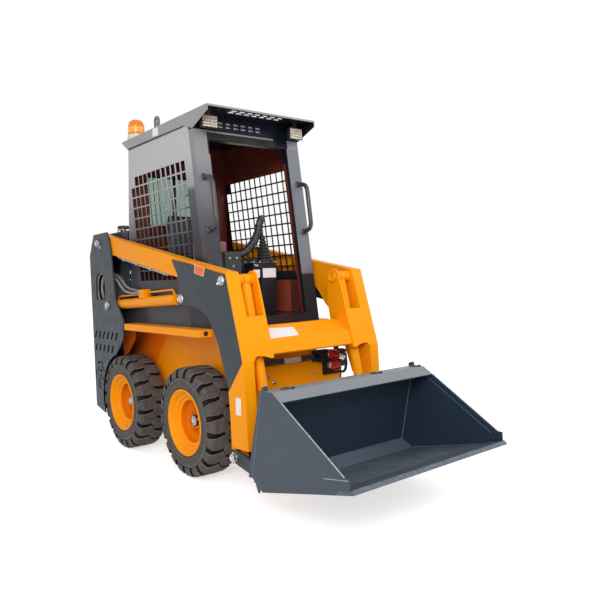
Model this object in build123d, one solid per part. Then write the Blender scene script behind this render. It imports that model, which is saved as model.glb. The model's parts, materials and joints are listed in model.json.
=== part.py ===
"""Compact skid steer loader: rigid hull on four wheels, cage cab, rear towers, lift arms and a bucket.

Millimetres. +X is forward, +Y is to the machine's left, +Z is up, and the wheels stand on z = 0.
Side-view places are (x, z), measured from a station 430 mm behind the front axle.
keep() moves every piece so that the origin is under the middle of the whole machine.
"""
import os
from math import atan2, cos, degrees, hypot, pi, radians, sin, tan

from build123d import *

# ---------------------------------------------------------------- driving dimensions
# running gear
FRONT_AXLE_X = 430
WHEELBASE = 906
REAR_X = FRONT_AXLE_X - WHEELBASE
TYRE_R = 323.5          # to the flat face of a lug
TYRE_W = 205
TYRE_OUT_Y = 495        # outer sidewall, from the middle plane
LUG_H = 18
LUG_COUNT = 20          # in each of the two rows
LUG_SHARE = 0.62        # of the pitch
SHOULDER_W = 26         # where the lugs fall away to the sidewall
SIDEWALL_R = 262
BEAD_DEPTH = 14
RIM_SIDES = 24
RIM_R = 187
RIM_WALL = 6
RIM_FLANGE_H = 11
DISC_T = 9
DISC_DEPTH = 88         # disc face behind the rim's outer edge
SPINDLE_R = 28
AXLE_TUBE_R = 48
RUN_FIT = 0.05          # radial clearance of a pin or shaft

# hull
HULL_Y = 268            # half width between the wheels
HULL_WALL = 12
HULL_Z = 200            # ground clearance
HULL_TOP = 868
TAIL = 155.5            # rear face of the towers behind the rear tyres
TOWER_REAR_X = REAR_X - TYRE_R - TAIL
HULL_REAR_X = TOWER_REAR_X + 23
FRONT_PLATE_X = 838
FRONT_PLATE_Y = 385
FRONT_PLATE_T = 8
FRONT_PLATE_TOP = 655
ENGINE_Z = (450, 1150)
ENGINE_Y = 240
FENDER_TOP = 880
FENDER_T = 8
FENDER_LIP = 42
FENDER_Y = 484
FENDER_FRONT_X = 637
TIE_HOLE_R = 9

# towers
TOWER_Y = 488           # outer face of the outer plate
TOWER_IN_Y = 392        # inner face of the inner plate
TOWER_T = 10
ARCH_GAP = 12           # tyre to wheel arch
SLOT_PITCH = 76
VENT_SLOT = 12          # width of the curved vent slots
KNUCKLE_R = 8
HINGE_PIN_R = 4
LIFT_PIN = (REAR_X - 301, 1456)
BARREL_PIN = (REAR_X - 160, 1006)
PIN_R = 18
PIN_HEAD_R = 25
PIN_HEAD_T = 9

# cab
CAB_Y = 388
CAB_SKIN = 5
CAB_FLOOR_Z = 922
CAB_BASE_Z = FENDER_TOP
CAB_REAR_X = -456
CAB_REAR_TOP_X = -404
POST_W = 98
POST_DEPTH = 55
LEAN = 8.0              # front posts, degrees from upright
SILL_FRONT = (661, 890)
ROOF_TOP = 2149
ROOF_SKIN = 5
ROOF_Y = CAB_Y + ROOF_SKIN
ROOF_SKIRT_Z = 2080     # lower edge of the roof's side flanges
CAB_TOP_Z = ROOF_TOP - ROOF_SKIN
HEADER_Z = (1990, 2045)
HANDLE_R = 11
VISOR_LIP = 12          # front edge of the roof sheet
VISOR_SLOT = (42, 24)   # across and along the machine
GLASS_Y = 250
GLASS_Z = (1560, 1900)
GLASS_LAP = 15
WORK_LIGHT_Y = 312
WORK_LIGHT_Z = 2073
BEACON_AT = (-320, -335)
SEAT_BOX_TOP = 1150
SOFT_GAP = 0.3
MESH_TOP = 1880
MESH_COLS = 12
MESH_ROWS = 10
MESH_PITCH_X = 65
MESH_PITCH_Z = 72
MESH_BAR = 10

# arms
ARM_IN_Y = 410          # box section between these two planes
ARM_OUT_Y = 472
ARM_PLATE_T = 12
LEG_IN_Y = 290          # inner plate of the leg
LEG_PLATE_T = 12
LEG_FRONT_T = 10
LOWER_LEG_IN_Y = 420
LOWER_LEG_OUT_Y = 487
ROD_PIN = (464, 1056)   # lift rod on the arm
TILT_TOP_PIN = (915, 1155)
BUCKET_PIN = (976, 230)
TILT_ROD_PIN = (1100, 365)
SIDE_GAP = 6            # between plates that move past each other

# cylinders
LIFT_CYL_Y = 440
TILT_CYL_Y = 347
LIFT_BARREL_R = 33
TILT_BARREL_R = 29
ROD_R = 16
EYE_R = 32
EYE_W = 40
BARREL_START = 38       # from the base pin to the barrel's closed end
LIFT_BARREL_END = 948
TILT_BARREL_END = 600
LIFT_ROD_TAIL = 90      # from the base pin to the rod's inner end, at rest
TILT_ROD_TAIL = 120

# bucket
BUCKET_Y = 540
BUCKET_T = 10
EDGE_T = 20
EDGE_W = 110            # cutting edge, front to back
CARRIER_Y = 487
CARRIER_T = 12
LUG_R = 38
TILT_SLOT_Y = (312, 382)   # free width for the tilt cylinder between the carrier's lugs
TILT_LUG_T = 12
HOSE_R = 18
LINE_R = 9              # lift cylinder hoses
PIPE_R = 6


# ---------------------------------------------------------------- helpers
def at(a, b, level, axis):
    """The point whose two in-plane coordinates are a and b on the plane axis = level."""
    return {"x": Vector(level, a, b), "y": Vector(a, level, b), "z": Vector(a, b, level)}[axis]


def ring(corners, level, axis):
    """Closed wire through (a, b) corners, or (a, b, radius) for a rounded one."""
    count = len(corners)
    edges = []
    ends = []
    for i, corner in enumerate(corners):
        here = at(corner[0], corner[1], level, axis)
        if len(corner) == 2:
            ends.append((here, here))
            continue
        before = at(*corners[i - 1][:2], level, axis)
        after = at(*corners[(i + 1) % count][:2], level, axis)
        to_before = (before - here).normalized()
        to_after = (after - here).normalized()
        half = radians(to_before.get_angle(to_after)) / 2
        reach = corner[2] / tan(half)
        start = here + to_before * reach
        end = here + to_after * reach
        bisector = (to_before + to_after).normalized()
        middle = here + bisector * (corner[2] / sin(half) - corner[2])
        edges.append(ThreePointArc(start, middle, end).edge())
        ends.append((start, end))
    for i in range(count):
        leave = ends[i][1]
        arrive = ends[(i + 1) % count][0]
        if (arrive - leave).length > 1e-6:
            edges.append(Line(leave, arrive).edge())
    return Wire(edges)


def circle_at(a, b, r, level, axis):
    """Closed circular wire on the plane axis = level."""
    normal = {"x": (1, 0, 0), "y": (0, 1, 0), "z": (0, 0, 1)}[axis]
    return Wire.make_circle(r, Plane(origin=at(a, b, level, axis), z_dir=normal))


def slab(corners, low, high, axis="y", holes=(), rounds=()):
    """Plate between two parallel planes. holes are corner lists, rounds are (a, b, radius)."""
    inner = [ring(hole, low, axis) for hole in holes]
    inner += [circle_at(*hole, low, axis) for hole in rounds]
    face = Face(ring(corners, low, axis), inner)
    way = {"x": (1, 0, 0), "y": (0, 1, 0), "z": (0, 0, 1)}[axis]
    return extrude(face, amount=high - low, dir=way)


def side_slab(corners, side, near, far, holes=(), rounds=()):
    """Side-view plate between |y| = near and |y| = far on one side of the machine."""
    low, high = sorted((side * near, side * far))
    return slab(corners, low, high, "y", holes, rounds)


def block(x0, x1, y0, y1, z0, z1):
    return Pos((x0 + x1) / 2, (y0 + y1) / 2, (z0 + z1) / 2) * Box(abs(x1 - x0), abs(y1 - y0), abs(z1 - z0))


def bar(start, end, r):
    """Round bar between two points."""
    start, end = Vector(*start), Vector(*end)
    length = (end - start).length
    return Plane(origin=start, z_dir=end - start) * Pos(0, 0, length / 2) * Cylinder(r, length)


def cross_bar(place, side, near, far, r):
    """Round bar along Y at the side-view place."""
    return bar((place[0], side * near, place[1]), (place[0], side * far, place[1]), r)


def along(start, end, distance):
    """Side-view point at a distance from start on the way to end."""
    span = hypot(end[0] - start[0], end[1] - start[1])
    share = distance / span
    return (start[0] + (end[0] - start[0]) * share, start[1] + (end[1] - start[1]) * share)


def bent_sheet(path, thickness):
    """Corners of a folded sheet: the outer path, then the same path thickness to its right."""
    def shifted(p, q):
        length = hypot(q[0] - p[0], q[1] - p[1])
        dx, dz = (q[1] - p[1]) / length * thickness, -(q[0] - p[0]) / length * thickness
        return (p[0] + dx, p[1] + dz), (q[0] + dx, q[1] + dz)

    lines = [shifted(p, q) for p, q in zip(path, path[1:])]
    inner = [lines[0][0]]
    for (p, q), (r, s) in zip(lines, lines[1:]):
        ax, az, bx, bz = q[0] - p[0], q[1] - p[1], s[0] - r[0], s[1] - r[1]
        share = ((r[0] - p[0]) * bz - (r[1] - p[1]) * bx) / (ax * bz - az * bx)
        inner.append((p[0] + ax * share, p[1] + az * share))
    inner.append(lines[-1][1])
    return list(path) + inner[::-1]


def beside(start, end, distance, offset):
    """Side-view point at a distance from start towards end, offset to the right of that way."""
    x, z = along(start, end, distance)
    span = hypot(end[0] - start[0], end[1] - start[1])
    return (x + (end[1] - start[1]) / span * offset, z - (end[0] - start[0]) / span * offset)


def arc_points(centre, r, start, end, count):
    """Side-view points on an arc, angles in degrees."""
    steps = [start + (end - start) * i / (count - 1) for i in range(count)]
    return [(centre[0] + r * cos(radians(a)), centre[1] + r * sin(radians(a))) for a in steps]


def facet(*points):
    """Flat face through the points, with repeated ones dropped."""
    corners = [p for i, p in enumerate(points) if (p - points[i - 1]).length > 1e-6]
    return Face(Wire.make_polygon(corners, close=True))


def stack(loops, closed=False):
    """Solid through loops of as many points each, ended by flat faces or closed into a hoop."""
    pairs = list(zip(loops, loops[1:]))
    ends = [] if closed else [facet(*loops[0]), facet(*loops[-1])]
    if closed:
        pairs.append((loops[-1], loops[0]))
    faces = [facet(a[k - 1], a[k], b[k], b[k - 1]) for a, b in pairs for k in range(len(a))]
    return Solid(Shell(faces + ends))


def spin(w, r, angle):
    """Point w across the wheel and r from its axle, angle in degrees from straight up."""
    return Vector(r * sin(radians(angle)), w, r * cos(radians(angle)))


def turned(profile, sides):
    """Loops of a faceted turned part from (w, r) corners, r to the middle of a flat."""
    half_step = 180 / sides
    return [[spin(w, r / cos(radians(half_step)), (2 * k + 1) * half_step) for k in range(sides)]
            for w, r in profile]


def eased(points, reach):
    """The run of points with each inner corner rounded in three facets."""
    points = [Vector(*p) for p in points]
    path = [points[0]]
    for before, here, after in zip(points, points[1:], points[2:]):
        room = min(reach, 0.45 * (before - here).length, 0.45 * (after - here).length)
        start = here + (before - here).normalized() * room
        end = here + (after - here).normalized() * room
        path += [start * (1 - t) ** 2 + here * (2 * t * (1 - t)) + end * t ** 2 for t in (0, 1 / 3, 2 / 3, 1)]
    return path + [points[-1]]


def tube(path, r, sides=8):
    """Faceted tube with mitred bends."""
    ways = [(q - p).normalized() for p, q in zip(path, path[1:])]
    start = Plane(origin=path[0], z_dir=ways[0])
    turns = [2 * pi * k / sides for k in range(sides)]
    loops = [[start.from_local_coords(Vector(r * cos(a), r * sin(a), 0)) for a in turns]]
    for way, onward, here in zip(ways, ways[1:] + ways[-1:], path[1:]):
        mitre = way + onward
        loops.append([p + way * ((here - p).dot(mitre) / way.dot(mitre)) for p in loops[-1]])
    return stack(loops)


SIDES = (("right", -1), ("left", 1))
AXLES = (("front", FRONT_AXLE_X), ("rear", REAR_X))
parts = {}


def keep(name, *shapes):
    parts[name] = list(shapes)


# ---------------------------------------------------------------- wheels
LUG_PITCH = 360 / LUG_COUNT
LUG_W = 2 * pi * TYRE_R / LUG_COUNT * LUG_SHARE
LUG_HALF_ANGLE = degrees(atan2(LUG_W / 2, TYRE_R))
# The two rows stand a quarter pitch to either side, so a corner of each is next to the ground.
AXLE_Z = hypot(TYRE_R, LUG_W / 2) * cos(radians(LUG_HALF_ANGLE - LUG_PITCH / 4))
WHEEL_MID_Y = TYRE_OUT_Y - TYRE_W / 2


def toothed(w, valley, top, phase):
    """Loop round the lug tops and the gaps between them."""
    spread = 1 / cos(radians(LUG_HALF_ANGLE))
    loop = []
    for i in range(LUG_COUNT):
        middle = i * LUG_PITCH + phase
        loop += [spin(w, r * spread, middle - LUG_HALF_ANGLE) for r in (valley, top)]
        loop += [spin(w, r * spread, middle + LUG_HALF_ANGLE) for r in (top, valley)]
    return loop


def tyre():
    """Two staggered rows of lugs that fall away to the sidewalls, and a seat for the rim."""
    half = TYRE_W / 2
    valley = TYRE_R - LUG_H
    # (distance from the middle plane, radius of the gaps, radius of the lug tops)
    stations = [(0, valley, TYRE_R), (half - SHOULDER_W, valley, TYRE_R),
                (half - 8, valley - 22, TYRE_R - 30), (half, SIDEWALL_R, SIDEWALL_R)]
    rows = [stack([toothed(row * w, low, top, row * LUG_PITCH / 4) for w, low, top in stations]) for row in (-1, 1)]
    bead = half - BEAD_DEPTH
    seat = RIM_R + RIM_FLANGE_H + 1
    bore = RIM_R + RUN_FIT
    mouth = seat + 3 * (BEAD_DEPTH + 1)
    inside = [(-half - 1, mouth), (-bead, seat), (-bead, bore), (bead, bore), (bead, seat), (half + 1, mouth)]
    return rows[0].fuse(rows[1]) - stack(turned(inside, RIM_SIDES))


def rim():
    """Deep-dish rim, w outwards from the middle plane, r from the axle."""
    half = TYRE_W / 2 - 8
    lip = half + 6
    flange = RIM_R + RIM_FLANGE_H
    inside = RIM_R - RIM_WALL
    face = lip - DISC_DEPTH
    hub = face + 2
    profile = [(-lip, inside), (-lip, flange), (-half - 2, flange), (-half - 2, RIM_R), (half + 2, RIM_R),
               (half + 2, flange), (lip, flange), (lip, inside), (half - 22, inside - 4), (half - 34, inside - 26),
               (face, inside - 40), (face - 12, 80), (hub, 66), (hub, SPINDLE_R + RUN_FIT),
               (hub - DISC_T, SPINDLE_R + RUN_FIT), (hub - DISC_T, 70),
               (face - 12 - DISC_T, 84), (face - DISC_T, inside - 32),
               (face - 24, inside)]
    return stack(turned(profile, RIM_SIDES), closed=True)


TYRE = tyre()
RIM = rim()
for end, x in AXLES:
    for side_name, side in SIDES:
        place = Pos(x, side * WHEEL_MID_Y, AXLE_Z)
        turn = Rot(0, 0, 0 if side > 0 else 180)
        keep(f"tyre_{end}_{side_name}", place * turn * TYRE)
        keep(f"rim_{end}_{side_name}", place * turn * RIM)

DISC_FACE_Y = WHEEL_MID_Y + TYRE_W / 2 - 2 - DISC_DEPTH + 2
DISC_BACK_Y = DISC_FACE_Y - DISC_T
keep("axle_housings", *[
    cross_bar((x, AXLE_Z), side, HULL_Y, DISC_BACK_Y - 1, AXLE_TUBE_R)
    + cross_bar((x, AXLE_Z), side, HULL_Y, DISC_FACE_Y + 16, SPINDLE_R)
    for _, x in AXLES for _, side in SIDES])


# ---------------------------------------------------------------- hull
REAR_AXLE = (REAR_X, AXLE_Z)
TAIL_FOOT_X = HULL_REAR_X + 132
hull_side = [(HULL_REAR_X, 240), (TAIL_FOOT_X, HULL_Z), (780, HULL_Z), (FRONT_PLATE_X, 250), (FRONT_PLATE_X, 560),
             (690, HULL_TOP), (HULL_REAR_X, HULL_TOP)]
hull = [side_slab(hull_side, side, HULL_Y - HULL_WALL, HULL_Y) for _, side in SIDES]
inner_y = HULL_Y - HULL_WALL
hull.append(block(TAIL_FOOT_X, 780, -inner_y, inner_y, HULL_Z, HULL_Z + HULL_WALL))
hull.append(block(HULL_REAR_X, HULL_REAR_X + HULL_WALL, -TOWER_IN_Y, TOWER_IN_Y, 240, 340))
hull.append(slab([(TAIL_FOOT_X, HULL_Z), (TAIL_FOOT_X, HULL_Z + HULL_WALL), (HULL_REAR_X, 240 + HULL_WALL), (HULL_REAR_X, 240)],
                 -inner_y, inner_y))
for x in (HULL_REAR_X + 82, -600):
    hull.append(block(x, x + 50, -inner_y, inner_y, ENGINE_Z[0] - 45, ENGINE_Z[0]))
keep("hull", hull[0].fuse(*hull[1:]).clean())

front_plate = slab([(-FRONT_PLATE_Y, 215), (FRONT_PLATE_Y, 215), (FRONT_PLATE_Y, 600, 40), (300, FRONT_PLATE_TOP, 60),
                    (-300, FRONT_PLATE_TOP, 60), (-FRONT_PLATE_Y, 600, 40)],
                   FRONT_PLATE_X, FRONT_PLATE_X + FRONT_PLATE_T, "x")
wings = [block(FRONT_PLATE_X - 60, FRONT_PLATE_X, side * (FRONT_PLATE_Y - 8), side * FRONT_PLATE_Y, 215, 560)
         for _, side in SIDES]
keep("front_plate", front_plate.fuse(*wings).clean())

FENDER_REAR_X = REAR_X + 91
SHELF_REAR_X = REAR_X - 324
fenders = []
for _, side in SIDES:
    top = side_slab([(FENDER_REAR_X, FENDER_TOP - FENDER_T), (FENDER_FRONT_X, FENDER_TOP - FENDER_T),
                     (FENDER_FRONT_X, FENDER_TOP), (FENDER_REAR_X, FENDER_TOP)], side, HULL_Y - HULL_WALL, FENDER_Y)
    rear = side_slab([(SHELF_REAR_X, HULL_TOP), (FENDER_REAR_X, HULL_TOP), (FENDER_REAR_X, FENDER_TOP),
                      (SHELF_REAR_X, FENDER_TOP)],
                     side, HULL_Y - HULL_WALL, TOWER_IN_Y)
    seat = side_slab([(FENDER_REAR_X, HULL_TOP), (FENDER_FRONT_X, HULL_TOP), (FENDER_FRONT_X, FENDER_TOP),
                      (FENDER_REAR_X, FENDER_TOP)], side, HULL_Y - HULL_WALL, HULL_Y)
    lip = side_slab([(FENDER_REAR_X, FENDER_TOP - FENDER_LIP), (FENDER_FRONT_X, FENDER_TOP - FENDER_LIP),
                     (FENDER_FRONT_X, FENDER_TOP), (FENDER_REAR_X, FENDER_TOP)], side, FENDER_Y - FENDER_T, FENDER_Y)
    low, high = sorted((side * (FENDER_Y - 84), side * FENDER_Y))
    lug = slab([(low, FENDER_TOP - FENDER_LIP, 8), (high, FENDER_TOP - FENDER_LIP, 8), (high, FENDER_TOP),
                (low, FENDER_TOP)], FENDER_FRONT_X, FENDER_FRONT_X + FENDER_T, "x",
               rounds=[((low + high) / 2, FENDER_TOP - 22, TIE_HOLE_R)])
    fenders.append(top.fuse(rear, seat, lip, lug).clean())
keep("fenders", *fenders)

keep("engine_block", block(HULL_REAR_X + 52, -520, -ENGINE_Y, ENGINE_Y, *ENGINE_Z))

# ---------------------------------------------------------------- towers
ARCH_R = TYRE_R + ARCH_GAP
arch = arc_points(REAR_AXLE, ARCH_R, 101, 201, 9)
TOWER_TOP = 1524
TOWER_CREST = (TOWER_REAR_X + 93, TOWER_TOP)
tower_outline = ([TOWER_CREST, (REAR_X - 128, TOWER_TOP + 3, 20), (REAR_X - 81, 1393), (REAR_X - 34, 1041),
                  (REAR_X + 88, 904), (REAR_X + 64, 767)] + arch
                 + [(TOWER_REAR_X, 240), (TOWER_REAR_X, 1373)])
WINDOW_MID = (TOWER_REAR_X + 180, 1170)
window = ([(WINDOW_MID[0] - 85, 1042), (WINDOW_MID[0] + 85, 1042)]
          + [(WINDOW_MID[0] + 85 * cos(radians(a)), WINDOW_MID[1] + 74 * sin(radians(a))) for a in range(0, 181, 30)])
ARCH_TOP = AXLE_Z + ARCH_R
# lower row and upper row: height over the arch, slots, lean of their tops
slots = [[(x, ARCH_TOP + lift), (x + 26, ARCH_TOP + lift), (x + 26 + lean, ARCH_TOP + lift + 53),
          (x + lean, ARCH_TOP + lift + 53)]
         for lift, count, lean in ((2, 5, 27), (99, 6, 32))
         for x in [TOWER_REAR_X + 25 + i * SLOT_PITCH for i in range(count)]]
VENT_AWAY = ARCH_R + 56
VENT_MID = (REAR_AXLE[0] - VENT_AWAY * cos(radians(23.5)), REAR_AXLE[1] + VENT_AWAY * sin(radians(23.5)))
# ring radius, first and last angle of each curved slot
VENT_ARCS = [(100, 62, 84), (100, 92, 128), (100, 160, 200), (100, 226, 262), (69, 22, 84), (69, 124, 182),
             (69, 212, 268), (38, 48, 132), (38, 186, 256), (38, -66, -8)]
vents = [arc_points(VENT_MID, r + VENT_SLOT / 2, a, b, 4) + arc_points(VENT_MID, r - VENT_SLOT / 2, b, a, 4)
         for r, a, b in VENT_ARCS]
eyelet = VENT_SLOT / 2 + 2
vents.append([(VENT_MID[0] - eyelet, VENT_MID[1] - 16), (VENT_MID[0] + eyelet, VENT_MID[1] - 16),
              (VENT_MID[0] + eyelet, VENT_MID[1] + 12), (VENT_MID[0] - eyelet, VENT_MID[1] + 12)])
outer_y = TOWER_Y - TOWER_T
inner_far_y = TOWER_IN_Y + TOWER_T
pin_bores = [(*LIFT_PIN, PIN_R + RUN_FIT), (*BARREL_PIN, PIN_R + RUN_FIT)]
for side_name, side in SIDES:
    outer = side_slab(tower_outline, side, outer_y, TOWER_Y, holes=[window] + slots + vents, rounds=pin_bores)
    inner = side_slab(tower_outline, side, TOWER_IN_Y, inner_far_y, rounds=pin_bores)
    web = side_slab(bent_sheet([(TOWER_REAR_X, 240), (TOWER_REAR_X, 1373), TOWER_CREST,
                                 (TOWER_CREST[0] + 27, TOWER_TOP + 0.3)], 8),
                    side, inner_far_y, outer_y)
    foot = side_slab(bent_sheet([(TOWER_REAR_X + 140, 228), (TOWER_REAR_X, 240)], 8), side, inner_far_y, outer_y)
    keep(f"tower_{side_name}", outer.fuse(inner, web, foot).clean())

pins = []
for _, side in SIDES:
    for place in (LIFT_PIN, BARREL_PIN):
        pins.append(cross_bar(place, side, TOWER_IN_Y, TOWER_Y, PIN_R)
                    + cross_bar(place, side, TOWER_Y, TOWER_Y + PIN_HEAD_T, PIN_HEAD_R))
keep("tower_pins", *pins)

# ---------------------------------------------------------------- hood and rear door
HOOD_Y = TOWER_IN_Y
HOOD_T = 6
HOOD_FRONT_X = -470
HOOD_TOP = 1530
HOOD_SIDE_Z = 1430
hood_rear = [(TOWER_REAR_X + 5, 1376), (TOWER_CREST[0] - 6, HOOD_TOP - 11), (TOWER_CREST[0] + 12, HOOD_TOP)]
hood_top = slab(bent_sheet(hood_rear + [(HOOD_FRONT_X, HOOD_TOP)], HOOD_T), -HOOD_Y, HOOD_Y)
hood_edge = [(HOOD_FRONT_X, HOOD_SIDE_Z), (TOWER_REAR_X + 105, HOOD_SIDE_Z), (TOWER_REAR_X + 65, 1376)]
hood_side = hood_rear + [(HOOD_FRONT_X, HOOD_TOP)] + hood_edge
hood_sides = [side_slab(hood_side, side, HOOD_Y - HOOD_T, HOOD_Y) for _, side in SIDES]
keep("hood", hood_top.fuse(*hood_sides).clean())
bay_side = [(HULL_REAR_X, FENDER_TOP), (HOOD_FRONT_X, FENDER_TOP)] + hood_edge + [(HULL_REAR_X, 1376)]
keep("engine_panels", *[side_slab(bay_side, side, HOOD_Y - HOOD_T, HOOD_Y) for _, side in SIDES])
FILLER_AT = (-560, -340)
keep("filler_cap", bar((*FILLER_AT, HOOD_TOP), (*FILLER_AT, HOOD_TOP + 18), 22)
     + bar((*FILLER_AT, HOOD_TOP + 18), (*FILLER_AT, HOOD_TOP + 42), 34))

DOOR_Y = TOWER_IN_Y - 12
DOOR_Z = (352, 1368)
DOOR_X = (TOWER_REAR_X - 2, TOWER_REAR_X + 16)
louvres = [[(-DOOR_Y + 90, z), (DOOR_Y - 90, z), (DOOR_Y - 90, z + 22), (-DOOR_Y + 90, z + 22)]
           for z in range(560, 1240, 48)]
door = slab([(-DOOR_Y, DOOR_Z[0], 16), (DOOR_Y, DOOR_Z[0], 16), (DOOR_Y, DOOR_Z[1], 16),
             (-DOOR_Y, DOOR_Z[1], 16)], *DOOR_X, "x", holes=louvres)
hinge_x = TOWER_REAR_X - KNUCKLE_R
hinge_y = TOWER_IN_Y - 4
hinges = []
for z in (470, 1190):
    knuckle = bar((hinge_x, hinge_y, z), (hinge_x, hinge_y, z + 55), KNUCKLE_R)
    leaf = block(hinge_x - 1, DOOR_X[0], hinge_y - 30, hinge_y, z, z + 55)
    bore = bar((hinge_x, hinge_y, z - 1), (hinge_x, hinge_y, z + 56), HINGE_PIN_R + RUN_FIT)
    door = door.fuse(knuckle + leaf - bore)
    low = bar((hinge_x, hinge_y, z - 45), (hinge_x, hinge_y, z - SOFT_GAP), KNUCKLE_R)
    pin = bar((hinge_x, hinge_y, z - SOFT_GAP), (hinge_x, hinge_y, z + 60), HINGE_PIN_R)
    plate = block(TOWER_REAR_X - 4, TOWER_REAR_X, hinge_y, TOWER_IN_Y + TOWER_T, z - 45, z - SOFT_GAP)
    hinges.append(low.fuse(pin, plate))
keep("rear_door", door.clean())
keep("door_hinges", *hinges)

# ---------------------------------------------------------------- cab
def front_x(z):
    """Front face of the posts."""
    return SILL_FRONT[0] - (z - SILL_FRONT[1]) * tan(radians(LEAN))


cells = []
for row in range(MESH_ROWS):
    z0 = MESH_TOP - (row + 1) * MESH_PITCH_Z + MESH_BAR
    z1 = z0 + MESH_PITCH_Z - MESH_BAR
    for col in range(1 if row == 0 else 0, MESH_COLS):
        left = -389 + col * MESH_PITCH_X
        low = left + (MESH_TOP - z0) * tan(radians(LEAN))
        high = left + (MESH_TOP - z1) * tan(radians(LEAN))
        width = MESH_PITCH_X - MESH_BAR
        cells.append([(low, z0), (low + width, z0), (high + width, z1), (high, z1)])
post_back = POST_DEPTH / cos(radians(LEAN))
side_outline = [(CAB_REAR_X, CAB_BASE_Z), (front_x(CAB_BASE_Z) - post_back, CAB_BASE_Z),
                (front_x(CAB_TOP_Z) - post_back, CAB_TOP_Z), (CAB_REAR_TOP_X, CAB_TOP_Z), (CAB_REAR_TOP_X, ROOF_SKIRT_Z),
                (CAB_REAR_X, 1496)]
for side_name, side in SIDES:
    keep(f"cab_side_{side_name}", side_slab(side_outline, side, CAB_Y - CAB_SKIN, CAB_Y, holes=cells))

frame_y = CAB_Y - POST_W
post = [(front_x(CAB_BASE_Z) - post_back, CAB_BASE_Z), (front_x(CAB_BASE_Z), CAB_BASE_Z),
        (front_x(CAB_TOP_Z), CAB_TOP_Z), (front_x(CAB_TOP_Z) - post_back, CAB_TOP_Z)]
posts = [side_slab(post, side, frame_y, CAB_Y) for _, side in SIDES]
sill = slab([(front_x(CAB_BASE_Z) - post_back, CAB_BASE_Z), (front_x(CAB_BASE_Z), CAB_BASE_Z),
             (front_x(930), 930), (front_x(930) - post_back, 930)], -frame_y, frame_y)
header = slab([(front_x(HEADER_Z[0]) - post_back, HEADER_Z[0]), (front_x(HEADER_Z[0]), HEADER_Z[0]),
               (front_x(HEADER_Z[1]), HEADER_Z[1]), (front_x(HEADER_Z[1]) - post_back, HEADER_Z[1])],
              -frame_y, frame_y)
lamp_slots = [[(y, z), (y + 36, z), (y + 36, z + 11), (y, z + 11)]
              for z in (HEADER_Z[1] + 30, HEADER_Z[1] + 51) for y in [-206 + 55 * i for i in range(6)]]
VISOR_BACK_X = front_x(CAB_TOP_Z) - CAB_SKIN - 2
visor_back = slab([(-frame_y, HEADER_Z[1]), (frame_y, HEADER_Z[1]), (frame_y, CAB_TOP_Z), (-frame_y, CAB_TOP_Z)],
                  VISOR_BACK_X, VISOR_BACK_X + CAB_SKIN, "x", holes=lamp_slots)
front_frame = posts[0].fuse(posts[1], sill, header, visor_back).clean()
keep("cab_front_frame", front_frame)

in_y = CAB_Y - CAB_SKIN
glass = [(-GLASS_Y, GLASS_Z[0]), (GLASS_Y, GLASS_Z[0]), (GLASS_Y, GLASS_Z[1]), (-GLASS_Y, GLASS_Z[1])]
rear_panel = slab([(-in_y, CAB_BASE_Z), (in_y, CAB_BASE_Z), (in_y, CAB_TOP_Z), (-in_y, CAB_TOP_Z)],
                  CAB_REAR_TOP_X, CAB_REAR_TOP_X + CAB_SKIN, "x", holes=[glass])
keep("cab_rear_panel", rear_panel)
keep("cab_rear_glass", block(CAB_REAR_TOP_X - 4, CAB_REAR_TOP_X, -GLASS_Y - GLASS_LAP, GLASS_Y + GLASS_LAP,
                             GLASS_Z[0] - GLASS_LAP, GLASS_Z[1] + GLASS_LAP))
keep("cab_floor", block(CAB_REAR_TOP_X + CAB_SKIN, 590, -in_y, in_y, CAB_FLOOR_Z - 8, CAB_FLOOR_Z))

ROOF_FRONT_X = 674
roof_rear = [(-504, ROOF_TOP - 4), (-480, ROOF_TOP)]
roof_top = slab(bent_sheet(roof_rear + [(ROOF_FRONT_X, ROOF_TOP), (ROOF_FRONT_X, ROOF_TOP - VISOR_LIP)], ROOF_SKIN),
                -ROOF_Y + ROOF_SKIN, ROOF_Y - ROOF_SKIN)
across, length = VISOR_SLOT
for x in (ROOF_FRONT_X - 106, ROOF_FRONT_X - 70):
    for y in [-195 + 56 * i for i in range(7)]:
        roof_top = roof_top - block(x, x + length, y, y + across, ROOF_TOP - 2 * ROOF_SKIN, ROOF_TOP + 1)
flange = roof_rear + [(ROOF_FRONT_X, ROOF_TOP), (ROOF_FRONT_X, ROOF_TOP - 38), (front_x(HEADER_Z[1]), HEADER_Z[1]),
                      (400, ROOF_SKIRT_Z), (CAB_REAR_TOP_X, ROOF_SKIRT_Z)]
roof_sides = [side_slab(flange, side, ROOF_Y - ROOF_SKIN, ROOF_Y) for _, side in SIDES]
keep("cab_roof", (roof_top.fuse(*roof_sides) - front_frame).clean())

eyes = []
for _, side in SIDES:
    y = side * 370
    eye = slab([(-22, ROOF_TOP, 4), (42, ROOF_TOP, 4), (42, ROOF_TOP + 75, 30), (-22, ROOF_TOP + 75, 30)],
               y - 6, y + 6, rounds=[(10, ROOF_TOP + 45, 16)])
    eyes.append(eye)
keep("lifting_eyes", *eyes)
keep("beacon_base", bar((*BEACON_AT, ROOF_TOP), (*BEACON_AT, ROOF_TOP + 32), 52))
keep("beacon_lens", bar((*BEACON_AT, ROOF_TOP + 32), (*BEACON_AT, ROOF_TOP + 138), 44))
lights = []
for _, side in SIDES:
    y = side * WORK_LIGHT_Y
    housing = block(542, 578, y - 46, y + 46, WORK_LIGHT_Z - 33, WORK_LIGHT_Z + 33)
    lights.append(housing.fuse(block(550, 570, y - 16, y + 16, WORK_LIGHT_Z + 33, ROOF_TOP - ROOF_SKIN)).clean())
keep("work_lights", *lights)

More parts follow.
